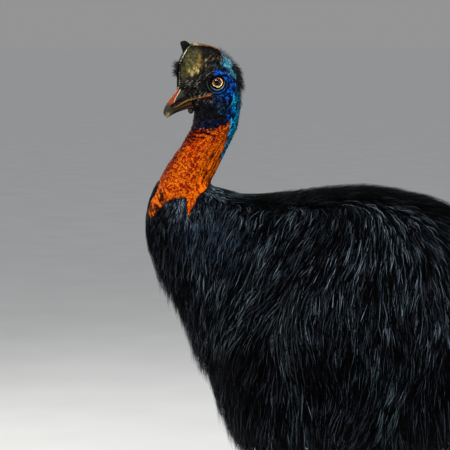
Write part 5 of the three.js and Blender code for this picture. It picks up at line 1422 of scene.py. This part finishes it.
def trace(k, a, length, steps, start_h, end_h, free=6.0, jitter=None, gravity=0.0):
    """Follows the lie of the coat from roots (k, a). Returns points (n, steps+1, 3) and outward normals there.
    Heights are measured from the outside of the plumage, negative within."""
    n = len(k)
    k, a = k.copy(), a.copy()
    h = start_h.copy()
    pts = np.zeros((n, steps + 1, 3))
    nrm = np.zeros((n, steps + 1, 3))
    p = surface(k, a, 0.0)
    N, dk, da = around(k, a)
    p = p + N * h[:, None]
    pts[:, 0], nrm[:, 0] = p, N
    ds = length / steps
    jit = np.zeros(n) if jitter is None else jitter
    loose = np.zeros(n, bool)
    prev = None
    for m in range(steps):
        t1 = (m + 1) / steps
        ang = lie(p) + jit
        D = np.stack([0 * ang, np.sin(ang), -np.cos(ang)], -1)
        # strands of the breast's front and of the sides part away from the midline
        D[:, 0] += 0.10 * np.sign(np.sin(a)) * smooth(N[:, 2], 0.2, 0.9)
        tang = unit(D - N * (D * N).sum(-1, keepdims=True))
        hang = smooth(-N[:, 2], 0.18, 0.55)[:, None]
        step = unit(tang * (1 - 0.85 * hang) + unit(D + np.array([0, 0, -0.35])) * 0.85 * hang)
        if prev is not None:
            step = unit(step + 1.1 * prev)
        want = start_h + (end_h - start_h) * np.minimum(1, (t1 / 0.62)) ** 0.8
        dh = np.clip(want - h, -ds * 0.5, ds * 0.5) * (1 - hang[:, 0])
        over = (k > 35.2) | loose
        move = unit(step + N * (dh / ds)[:, None]) * ds[:, None]
        # in the surface's own coordinates
        J = np.stack([dk, da, N], -1)
        try:
            inv = np.linalg.solve(J, move[..., None])[..., 0]
        except np.linalg.LinAlgError:
            inv = np.zeros((n, 3))
        lim_k, lim_a = 1.2, 0.5
        inv[:, 0] = np.clip(inv[:, 0], -lim_k, lim_k)
        inv[:, 1] = np.clip(inv[:, 1], -lim_a, lim_a)
        out = h + inv[:, 2] > free
        k2, a2, h2 = k + inv[:, 0], a + inv[:, 1], np.minimum(h + inv[:, 2], free)
        k2 = np.clip(k2, 0.0, LAST - 0.01)
        N2, dk2, da2 = around(k2, a2)
        p2 = surface(k2, a2, 0.0) + N2 * h2[:, None]
        # past the end of the tail, or where coordinates fail, a strand hangs
        bad = over | (np.linalg.norm(p2 - p, axis=1) > 2.2 * ds)
        fall_dir = unit((prev if prev is not None else step) + np.array([0, 0, -0.5]))
        p2 = np.where(bad[:, None], p + fall_dir * ds[:, None], p2)
        k = np.where(bad, k, k2)
        a = np.where(bad, a, a2)
        h = np.where(bad, h, h2)
        loose |= bad
        N = np.where(bad[:, None], N, N2)
        dk = np.where(bad[:, None], dk, dk2)
        da = np.where(bad[:, None], da, da2)
        prev = unit(p2 - p)
        p = p2
        pts[:, m + 1], nrm[:, m + 1] = p, N
    return pts, nrm


def strands_mesh(name, centre, normal, width, colour, uv, mat, slot, thick=0.55, patch=0.003):
    """Three-sided tapered strands. centre, normal: (n, m+1, 3); width: half width (n, m+1); colour (n, m+1, 3); uv (n, 2)."""
    n, m1 = centre.shape[:2]
    T = np.gradient(centre, axis=1)
    T = unit(T)
    S = unit(np.cross(T, normal))
    U = np.cross(S, T)
    w = width[..., None]
    ringpts = np.stack([centre + S * w, centre + U * w * thick * 1.3, centre - S * w], 2)  # (n, m+1, 3 corners, 3)
    body = ringpts[:, :-1]
    tipp = centre[:, -1:]
    nb = (m1 - 1) * 3
    verts = np.concatenate([body.reshape(n, nb, 3), tipp], 1)
    per = nb + 1
    base = np.arange(n)[:, None] * per
    i, j = np.meshgrid(np.arange(m1 - 2), np.arange(3), indexing="ij")
    i, j = i.ravel(), j.ravel()
    jn = (j + 1) % 3
    quad = np.stack([i * 3 + j, i * 3 + jn, (i + 1) * 3 + jn, (i + 1) * 3 + j], -1)[:, ::-1]
    last = (m1 - 2) * 3
    tri = np.array([[last + 1, last + 0, nb], [last + 2, last + 1, nb], [last + 0, last + 2, nb], [0, 1, 2]])[:, ::1]
    quads = (base[:, :, None] + quad[None]).reshape(-1, 4)
    tris = (base[:, :, None] + tri[None]).reshape(-1, 3)
    cols = np.concatenate([np.repeat(colour[:, :-1], 3, axis=1), colour[:, -1:]], 1)
    # each strand is one small patch at its root's place
    across = np.array([0.0, 0.5, 1.0])
    lu = np.concatenate([np.tile(across, m1 - 1), [0.5]]) * patch
    lv = np.concatenate([np.repeat(np.arange(m1 - 1) / (m1 - 1), 3), [1.0]]) * patch
    vert_uv = uv[:, None, :] + np.stack([lu, lv], -1)[None]
    flat_uv = vert_uv.reshape(-1, 2)
    corner_uv = np.concatenate([flat_uv[quads.ravel()], flat_uv[tris.ravel()]])
    ob = mesh_object(name, lift(verts.reshape(-1, 3)), [quads, tris], uv=corner_uv, colour=cols.reshape(-1, 3))
    dress(ob, mat, slot)
    return ob


def coat_uv(k, a):
    return np.stack([0.004 + 0.988 * ((a / (2 * np.pi)) % 1.0), 0.004 + 0.988 * np.clip((k - 15.8) / (36 - 15.8), 0, 1)], -1)


def scatter_roots(count, seed, weight):
    """Roots over the plumed skin, by area times weight(k, a, normal)."""
    rng = np.random.default_rng(seed)
    got_k, got_a = [], []
    kk, aa = np.meshgrid(np.linspace(16.2, 35.3, 240), np.linspace(0, 2 * np.pi, 180, endpoint=False), indexing="ij")
    _, dk, da = around(kk, aa, -inset(kk, aa))
    area = np.linalg.norm(np.cross(dk, da), axis=-1)
    N, _, _ = around(kk, aa)
    w = area * weight(kk, aa, N)
    flat = w.ravel() / w.sum()
    # stratified draw over the cells
    cum = np.cumsum(flat)
    u = (np.arange(count) + rng.random(count)) / count
    idx = np.minimum(np.searchsorted(cum, u), len(flat) - 1)
    i, j = np.unravel_index(idx, kk.shape)
    k = kk[i, j] + (rng.random(count) - 0.5) * (19.1 / 239)
    a = aa[i, j] + (rng.random(count) - 0.5) * (2 * np.pi / 180)
    keep = k > bare_edge(a, k) + 0.03
    return k[keep], a[keep], rng


# paler strands of the flank: place along and up the body, half size each way, share
PALE = np.array([
    (-100, 650, 20, 62, 0.22), (-86, 480, 8, 26, 0.30), (85, 700, 10, 20, 0.22), (-88, 942, 12, 14, 0.30), (40, 868, 12, 16, 0.25),
    (-216, 976, 40, 7, 0.20), (-257, 978, 10, 14, 0.12), (78, 590, 26, 40, 0.16), (125, 505, 26, 60, 0.22), (-130, 820, 60, 60, 0.05), (170, 800, 90, 80, 0.04),
], float)


def coat_colour(mid, rng):
    """One colour for each strand, from where its middle lies."""
    n = len(mid)
    y, z = mid[:, 1], mid[:, 2]
    # the tone falls towards the bottom of the body: painted shade on the lower body
    tone = rng.random(n) + 0.09 * noise(mid, 46, 131) + 0.08 * noise(mid, 15, 132) - 0.10 * smooth(-z, -690, -560) + 0.05 * smooth(-y, 120, 220)
    c = np.broadcast_to(rgb(0.004, 0.004, 0.008), (n, 3)).copy()
    c = paint(c, rgb(0.036, 0.034, 0.052), smooth(tone, 0.32, 0.60))
    c = paint(c, rgb(0.235, 0.27, 0.315), smooth(tone, 0.66, 0.82))
    c = paint(c, rgb(0.58, 0.66, 0.72), 0.9 * smooth(tone, 0.90, 1.02))
    # painted sheen: a bluish-grey patch on the shoulder
    blue = bell(np.hypot((y + 268) / 66, (z - 885) / 52), 1.0)
    c = paint(c, rgb(0.27, 0.35, 0.44), 0.68 * np.clip(1.3 * blue, 0, 1) * smooth(tone, 0.20, 0.75))
    purple = bell(np.hypot((y + 395) / 70, (z - 860) / 150), 1.0)
    c = paint(c, rgb(0.06, 0.035, 0.075), 0.6 * purple)
    brown = bell(np.hypot((y + 235) / 90, (z - 600) / 110), 1.0)
    c = paint(c, rgb(0.11, 0.085, 0.065), 0.55 * brown * smooth(tone, 0.3, 0.9))
    # painted shade: dark along the line of the back, where the strands lie along it and catch little light
    line = np.interp(y, BACK_LINE[:, 0], BACK_LINE[:, 1]) - z
    back_shade = smooth(-line, -44, -24) * smooth(y, -250, -160)
    c = c * (1 - 0.90 * back_shade[:, None])
    breast = bell(np.hypot((y + 345) / 60, (z - 800) / 120), 1.0)
    c = c * (1 - 0.42 * breast[:, None])
    c = c * (1 - 0.66 * (smooth(-y, 348, 376) * smooth(z, 840, 880))[:, None])
    for py, pz, hy, hz, share in PALE:
        w = bell(np.hypot((y - py) / hy, (z - pz) / hz), 1.0)
        hit = rng.random(n) < share * w
        c = np.where(hit[:, None], mix(rgb(0.20, 0.27, 0.29), rgb(0.40, 0.50, 0.52), rng.random((n, 1))), c)
    return c


def make_plumage():
    total = 75000
    per = 5
    locks = total // per

    def weight(k, a, N):
        w = (k > bare_edge(a, k)) * 1.0
        w = w * (0.30 + 0.70 * smooth(N[..., 2], -0.95, -0.3))
        w = w * (1 + 1.1 * bell(N[..., 2] + 0.45, 0.3) * smooth(k, 27, 30))
        w = w * (1 + 1.0 * smooth(-k, -20.5, -18.5))
        # the left flank and the line of the back are seen most
        return w * (1 + 0.35 * smooth(N[..., 2], 0.0, 0.7))

    k, a, rng = scatter_roots(locks, 5, weight)
    n = len(k)
    from_edge = k - bare_edge(a, k)
    N0, _, _ = around(k, a)
    length = mix(24, 52, smooth(from_edge, 0.1, 2.6))
    length = length + 16 * smooth(k, 20, 25) + 46 * smooth(k, 30, 34) + 40 * smooth(-N0[:, 2], -0.1, 0.5) * smooth(k, 22, 26)
    length = length * (0.80 + 0.40 * rng.random(n)) * (1 - 0.45 * smooth(-N0[:, 2], 0.75, 0.98))
    depth = inset(k, a)
    where = surface(k, a)
    clump = 0.14 * noise(where, 70, 121) + 0.19 * noise(where, 26, 122)
    jitter = clump + rng.normal(0, 0.07, n)
    layer = rng.random(n)
    end_h = -1.5 - 13 * layer**1.6 * smooth(k, 18, 21) - 3.5 * layer * (1 - smooth(k, 18, 21))
    # shorter feathers still reach the surface, so they start nearer to it
    start_h = -np.minimum(depth - 1.0, 8 + 0.24 * length)
    steps = 10
    loose_end = (smooth(where[:, 1], 110, 190) + smooth(-where[:, 1], 120, 180)) * smooth(-N0[:, 2], 0.0, 0.45)
    pts, nrm = trace(k, a, length, steps, start_h, end_h, free=5.0 + 26.0 * loose_end, jitter=jitter)
    # where a strand comes out under the plumage's lower edge, it ends there
    floor_z = hem_floor(pts[..., 1])
    under = floor_z - pts[..., 2]
    ends = smooth(pts[..., 1], 120, 210) + smooth(-pts[..., 1], 130, 190)
    allow = 10 + 20 * rng.random(n)[:, None] + 44 * ends
    ok = under < allow
    reach = np.where(ok.all(1), steps, np.argmax(~ok, axis=1))
    reach = np.maximum(reach, 4)
    # four places along each, with the strands of a lock spread round its guide and drawn together at the tip
    mring = 4
    tt = np.array([0, 0.36, 0.70, 1.0])[None, :] * reach[:, None]
    i0 = np.minimum(np.floor(tt).astype(int), steps - 1)
    fr = (tt - i0)[..., None]
    idx = np.arange(n)[:, None]
    C = pts[idx, i0] * (1 - fr) + pts[idx, i0 + 1] * fr
    NN = unit(nrm[idx, i0] * (1 - fr) + nrm[idx, i0 + 1] * fr)
    C = np.repeat(C, per, axis=0)
    NN = np.repeat(NN, per, axis=0)
    N = n * per
    T = unit(np.gradient(C, axis=1))
    S = unit(np.cross(T, NN))
    spread = rng.normal(0, 1, (N, 1)) * np.repeat(mix(4.2, 8.5, smooth(k, 18, 22)), per)[:, None]
    tip_draw = mix(1.0, 0.3, rng.random((N, 1)))
    tgrid = np.array([0, 0.36, 0.70, 1.0])[None]
    offset = spread * (1 - tgrid * (1 - tip_draw)) + rng.normal(0, 1.0, (N, 1)) * 3.0 * tgrid**1.5 * np.repeat(smooth(k, 17, 21), per)[:, None]
    wave = rng.normal(0, 1.0, (N, 1)) * np.sin(tgrid * (3.5 + 2 * rng.random((N, 1))) + 6 * rng.random((N, 1))) * 1.2
    along = rng.normal(0, 0.10, (N, 1)) * np.repeat(length, per)[:, None]
    C = C + S * (offset + wave)[..., None] + T * along[..., None]
    bias = (rng.random((N, 1)) - 0.75) * 5.0 * np.repeat(smooth(k, 17, 21), per)[:, None]
    # the first strand of each lock is broad and dark and lies beneath the others
    deep = np.tile(np.arange(per) == 0, n)
    bias = np.where(deep[:, None], -3.6 * np.repeat(smooth(k, 17, 21), per)[:, None], bias)
    C = C + NN * (bias * smooth(tgrid, 0.1, 0.6))[..., None]
    kr, ar = np.repeat(k, per), np.repeat(a, per)
    lr = np.repeat(length, per)
    base_w = mix(0.38, 0.49, smooth(lr, 40, 120)) * (0.6 + 0.6 * rng.random(N))
    base_w = np.where(deep, 2.6 * base_w, base_w)
    width = base_w[:, None] * np.array([0.8, 1.0, 0.85, 0.0])[None]
    c = coat_colour(C[:, 2], rng)
    c = np.where(deep[:, None], rgb(0.013, 0.013, 0.018) * (0.6 + 0.9 * rng.random((N, 1))), c)
    # painted shade: each strand darker at its root, under the others, and lighter to the tip
    colour = c[:, None] * np.array([0.30, 0.75, 1.05, 1.2])[None, :, None]
    mat = material("plumage", rough=0.36, vary=0.12, vary_size=6.0, rough_vary=0.08, spec=0.035)
    uv = coat_uv(kr, ar)
    tris_each = (mring - 2) * 6 + 4
    pieces = int(math.ceil(N * tris_each / 190000))
    # each piece is one stretch of coat along the body
    rank = np.argsort(kr, kind="stable")
    for m, idx in enumerate(np.array_split(rank, pieces)):
        strands_mesh(f"plumage_{m + 1:02d}", C[idx], NN[idx], width[idx], colour[idx], uv[idx], mat, "plumage")
    said(f"plumage {N} strands in {pieces} pieces")
    return mat


def make_fringe(mat):
    """Short fine feathers where the plumage begins on the neck, thick over the edge of the bare skin."""
    count = 23000
    rng = np.random.default_rng(31)
    a = rng.random(count) * 2 * np.pi
    k = 15.9 + 4.9 * rng.random(count)
    from_edge = k - bare_edge(a, k)
    keep = (from_edge > 0.03) & (rng.random(count) < smooth(-from_edge, -1.7, -0.5))
    k, a, from_edge = k[keep], a[keep], from_edge[keep]
    n = len(k)
    length = mix(17, 42, smooth(from_edge, 0.0, 1.3)) * (0.75 + 0.5 * rng.random(n))
    where = surface(k, a)
    jitter = 0.16 * noise(where, 20, 141) + rng.normal(0, 0.13, n)
    end_h = -1.2 + 2.2 * rng.random(n)
    steps = 6
    pts, nrm = trace(k, a, length, steps, -inset(k, a) + 0.6, end_h, free=3.0, jitter=jitter)
    pick = np.array([0, 2, 4, 6])
    C, NN = pts[:, pick], nrm[:, pick]
    T = unit(np.gradient(C, axis=1))
    S = unit(np.cross(T, NN))
    bend = rng.normal(0, 1.3, (n, 1)) * np.array([0, 0.2, 0.6, 1.3])[None]
    C = C + S * bend[..., None]
    width = (0.42 + 0.3 * rng.random(n))[:, None] * np.array([0.8, 1.0, 0.8, 0.0])[None]
    c = coat_colour(C[:, 2], rng)
    # painted shade: darker at the root, lighter to the tip
    colour = c[:, None] * np.array([0.5, 0.8, 1.05, 1.2])[None, :, None]
    strands_mesh("plumage_neck", C, NN, width, colour, coat_uv(k, a), mat, "plumage")


def make_bristles():
    """Sparse black bristles of the head: crown, nape, cheek, throat, before the casque and along the upper lid."""
    rng = np.random.default_rng(47)
    share = 1.0
    roots_k, roots_a, sizes, lifts, twists, widths, tones = [], [], [], [], [], [], []

    def patch(count, k0, k1, a0, a1, size, lift_deg, width, tone=0.05, turn=0.25, mirror=True):
        m = int(count * share)
        k = k0 + (k1 - k0) * rng.random(m)
        ang = np.radians(a0 + (a1 - a0) * rng.random(m))
        if mirror:
            ang = ang * np.where(rng.random(m) < 0.5, -1, 1)
        roots_k.append(k)
        roots_a.append(ang)
        sizes.append(size[0] + (size[1] - size[0]) * rng.random(m))
        lifts.append(np.radians(lift_deg[0] + (lift_deg[1] - lift_deg[0]) * rng.random(m)))
        twists.append(rng.normal(0, turn, m))
        widths.append(np.full(m, width))
        tones.append(np.full(m, tone))

    patch(230, 2.9, 3.5, 0, 24, (12, 26), (75, 100), 0.20, 0.05, 0.45)
    patch(260, 3.4, 4.2, 0, 26, (12, 26), (60, 90), 0.20, 0.05, 0.40)
    patch(260, 4.2, 5.6, 0, 10, (10, 20), (50, 85), 0.16, 0.08)
    patch(900, 5.5, 7.3, 0, 42, (12, 24), (32, 75), 0.32, 0.04, 0.35)
    patch(380, 6.8, 8.8, 0, 60, (6, 13), (25, 55), 0.24, 0.05)
    patch(330, 8.4, 12.6, 0, 40, (4, 8), (20, 45), 0.20, 0.05)
    patch(300, 4.3, 6.6, 30, 75, (4, 7), (12, 30), 0.15, 0.05)
    patch(620, 0.8, 3.4, 55, 120, (3.5, 6.5), (10, 25), 0.15, 0.05)
    patch(420, 3.0, 6.0, 120, 150, (3.5, 6.5), (10, 28), 0.15, 0.05)
    patch(320, 7.0, 10.4, 62, 120, (3.5, 6.5), (10, 25), 0.15, 0.05)
    patch(420, 4.0, 10.6, 140, 180, (5, 9), (15, 40), 0.17, 0.05)
    k, a = np.concatenate(roots_k), np.concatenate(roots_a)
    size, lift_a, twist = np.concatenate(sizes), np.concatenate(lifts), np.concatenate(twists)
    w0, tone = np.concatenate(widths), np.concatenate(tones)
    L = surface(k, a, turn=False)
    _, back, up = eye_frame(L[:, 0], L[:, 1] - AXIS_Y, L[:, 2])
    clear = np.hypot(back, up) > 20
    k, a, size, lift_a, twist, w0, tone = (v[clear] for v in (k, a, size, lift_a, twist, w0, tone))
    P = skin_point(k, a, 0.5)
    N, dk, da = around(k, a)
    D = unit(dk)
    S = unit(np.cross(N, D))
    F = D * np.cos(twist)[:, None] + S * np.sin(twist)[:, None]
    t = np.array([0, 0.35, 0.7, 1.0])
    rise = np.sin(lift_a)[:, None] * (t - 0.28 * t**2)[None]
    run = np.cos(lift_a)[:, None] * (t + 0.12 * t**2)[None]
    C = P[:, None] + size[:, None, None] * (F[:, None] * run[..., None] + N[:, None] * rise[..., None])
    NN = np.repeat(N[:, None], 4, 1)
    width = w0[:, None] * (0.8 + 0.4 * rng.random((len(k), 1))) * np.array([1.0, 0.9, 0.6, 0.0])[None]
    c = rgb(0.05, 0.05, 0.055)[None] * (0.5 + 1.2 * rng.random((len(k), 1))) + tone[:, None] * 0.01
    uv = np.stack([0.004 + 0.988 * ((a / (2 * np.pi)) % 1.0), 0.004 + 0.988 * np.clip(k / 36, 0, 1)], -1)

    # before the casque's front edge, pointing forward
    m = int(360 * share)
    s0 = -90.5 + 1.5 * rng.random(m)
    z0 = 1236 + 32 * rng.beta(1.6, 2.0, m)
    x0 = (0.5 + 6.0 * rng.random(m)) * np.where(rng.random(m) < 0.5, -1, 1)
    P2 = turned(np.stack([x0, s0 + AXIS_Y, z0], -1), math.radians(HEAD_YAW))
    aim = np.stack([0.35 * np.sign(x0) + rng.normal(0, 0.25, m), -np.ones(m), 0.30 + 0.02 * (z0 - 1250) + rng.normal(0, 0.32, m)], -1)
    aim = turned(unit(aim) + (0, AXIS_Y, 0), math.radians(HEAD_YAW)) - (0, AXIS_Y, 0)
    size2 = 7 + 12 * rng.random(m)
    droop = np.array([0, 0, -0.12])
    C2 = P2[:, None] + size2[:, None, None] * (aim[:, None] * t[None, :, None] + droop * (t**2)[None, :, None])
    N2 = unit(np.cross(aim, np.array([1.0, 0.2, 0.1])))
    NN2 = np.repeat(N2[:, None], 4, 1)
    W2 = 0.38 * np.ones((m, 1)) * np.array([1.0, 0.9, 0.6, 0.0])[None]
    c2 = np.broadcast_to(rgb(0.045, 0.042, 0.048), (m, 3))
    uv2 = np.stack([0.3 + 0.4 * rng.random(m), 0.004 + 0.01 * rng.random(m)], -1)

    # lashes along the upper lid
    m = 34
    C3, NN3, uv3 = [], [], []
    for side in (1.0, -1.0):
        e = np.array([side * EC, -ES, 0.0])
        bk = np.array([side * ES, EC, 0.0])
        centre = np.array([side * EYE["x"], AXIS_Y + EYE["s"], EYE["z"]])
        th = np.radians(np.linspace(22, 158, m) + rng.normal(0, 1.2, m))
        r0 = eye_opening(th) + 1.3
        out = bk * np.cos(th)[:, None] + np.array([0, 0, 1.0]) * np.sin(th)[:, None]
        root = centre + e * 12.2 + out * r0[:, None]
        ln = (5.5 + 2.5 * rng.random(m))[:, None, None]
        d3 = unit(out * 0.62 + e * 0.78 + bk * 0.25)
        C3.append(turned(root[:, None] + ln * (d3[:, None] * t[None, :, None] + np.array([0, 0, 0.25]) * (t**2)[None, :, None]), math.radians(HEAD_YAW)))
        NN3.append(np.repeat(np.broadcast_to(turned(e + (0, AXIS_Y, 0), math.radians(HEAD_YAW)) - (0, AXIS_Y, 0), (m, 3))[:, None], 4, 1))
        uv3.append(np.stack([(0.25 if side > 0 else 0.75) + 0.01 * rng.random(m), 0.13 + 0.01 * rng.random(m)], -1))
    C3, NN3, uv3 = np.concatenate(C3), np.concatenate(NN3), np.concatenate(uv3)
    W3 = 0.22 * np.ones((len(C3), 1)) * np.array([1.0, 0.95, 0.7, 0.0])[None]
    c3 = np.broadcast_to(rgb(0.03, 0.028, 0.03), (len(C3), 3))

    C, NN, width = np.concatenate([C, C2, C3]), np.concatenate([NN, NN2, NN3]), np.concatenate([width, W2, W3])
    c, uv = np.concatenate([c, c2, c3]), np.concatenate([uv, uv2, uv3])
    mat = material("bristle", rough=0.45, vary=0.10, vary_size=3.0, rough_vary=0.06, spec=0.25)
    strands_mesh("bristles_head", C, NN, width, np.repeat(c[:, None], 4, 1), uv, mat, "plumage", thick=0.8)


def place_on(y, z):
    """Station and angle on the left flank at a place along and up the body."""
    kk, aa = np.meshgrid(np.linspace(19, 34, 240), np.linspace(0.2, np.pi - 0.2, 160), indexing="ij")
    S = surface(kk, aa)
    i = np.argmin((S[..., 1] - y) ** 2 + (S[..., 2] - z) ** 2)
    k, a = np.array([kk.flat[i]]), np.array([aa.flat[i]])
    for _ in range(4):
        P = surface(k, a)[0]
        _, dk, da = around(k, a)
        J = np.array([[dk[0, 1], da[0, 1]], [dk[0, 2], da[0, 2]]])
        d = np.linalg.solve(J, [y - P[1], z - P[2]])
        k, a = k + np.clip(d[0], -0.3, 0.3), a + np.clip(d[1], -0.1, 0.1)
    return k, a


def make_quills():
    """The wing's bare quills: five black horny spines a side that come out of the flank plumage."""
    mat = material("quill", rough=0.30, vary=0.12, vary_size=2.0, rough_vary=0.08, spec=0.3, bumps=[("noise", 1.5, 0.12, None)])
    # start, two places between, tip: along, up, height over the plumage
    paths = [
        [(-96, 806, -14), (-114, 752, -7), (-124, 692, -2.0), (-116, 622, 1.5)],
        [(-90, 808, -13), (-105, 752, -6), (-112, 684, -1.5), (-102, 596, 2.0)],
        [(-84, 808, -13), (-97, 750, -6), (-101, 676, -1.0), (-88, 574, 2.5)],
        [(-78, 806, -13), (-88, 748, -6), (-90, 674, -1.0), (-74, 566, 2.5)],
        [(-72, 800, -14), (-80, 744, -7), (-79, 678, -1.5), (-62, 590, 2.0)],
    ]
    for tag, side in (("L", 1.0), ("R", -1.0)):
        shells, cols = [], []
        for n_q, path in enumerate(paths):
            ctrl = []
            for y, z, h in path:
                k, a = place_on(y + (0 if side > 0 else 9), z)
                N, _, _ = around(k, a)
                ctrl.append(surface(k, a)[0] + N[0] * h)
            rings = 30
            c = spline(np.array(ctrl) * (side, 1, 1), np.linspace(0, 1, rings))
            T = unit(np.gradient(c, axis=0))
            U = unit(np.cross(T, np.array([side, 0.0, 0.0])))
            W = np.cross(U, T)
            tt = np.linspace(0, 1, rings)
            r = np.interp(tt, [0, 0.2, 0.7, 0.95, 1], [1.9, 1.7, 1.1, 0.5, 0.2])
            b = np.linspace(0, 2 * np.pi, 10, endpoint=False)
            sec = c[:, None] + (U[:, None] * np.cos(b)[None, :, None] + W[:, None] * np.sin(b)[None, :, None]) * r[:, None, None]
            v, f = lofted(sec)
            shells.append((v, f))
            g = noise(v, 9.0, 151 + n_q)
            col = paint(np.broadcast_to(rgb(0.035, 0.035, 0.04), v.shape).copy(), rgb(0.17, 0.175, 0.17), 0.7 * smooth(g, -0.1, 0.8))
            cols.append(col)
        v, f = joined(shells)
        ob = mesh_object(f"wing_quills_{tag}", lift(v), f, colour=np.vstack(cols))
        dress(ob, mat, "claw_horn", f"wing_{tag}")


def hem_floor(y):
    """Height of the plumage's lower outline along the body."""
    vy, vz = STATIONS[16:, 2], STATIONS[16:, 3]
    return np.interp(y, vy, vz, left=-1e3)


# ------------------------------------------------------------------ run
stage()
TURN = math.radians(HEAD_YAW)
make_skin()
said("skin")
make_eyes(TURN)
make_bill(TURN)
make_casque(TURN)
make_wattle(TURN)
make_claws()
said("head and claws")
coat = make_plumage()
make_fringe(coat)
make_quills()
make_bristles()

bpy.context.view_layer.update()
said("triangles " + json.dumps(TALLY))
said(f"total {sum(TALLY.values())}")
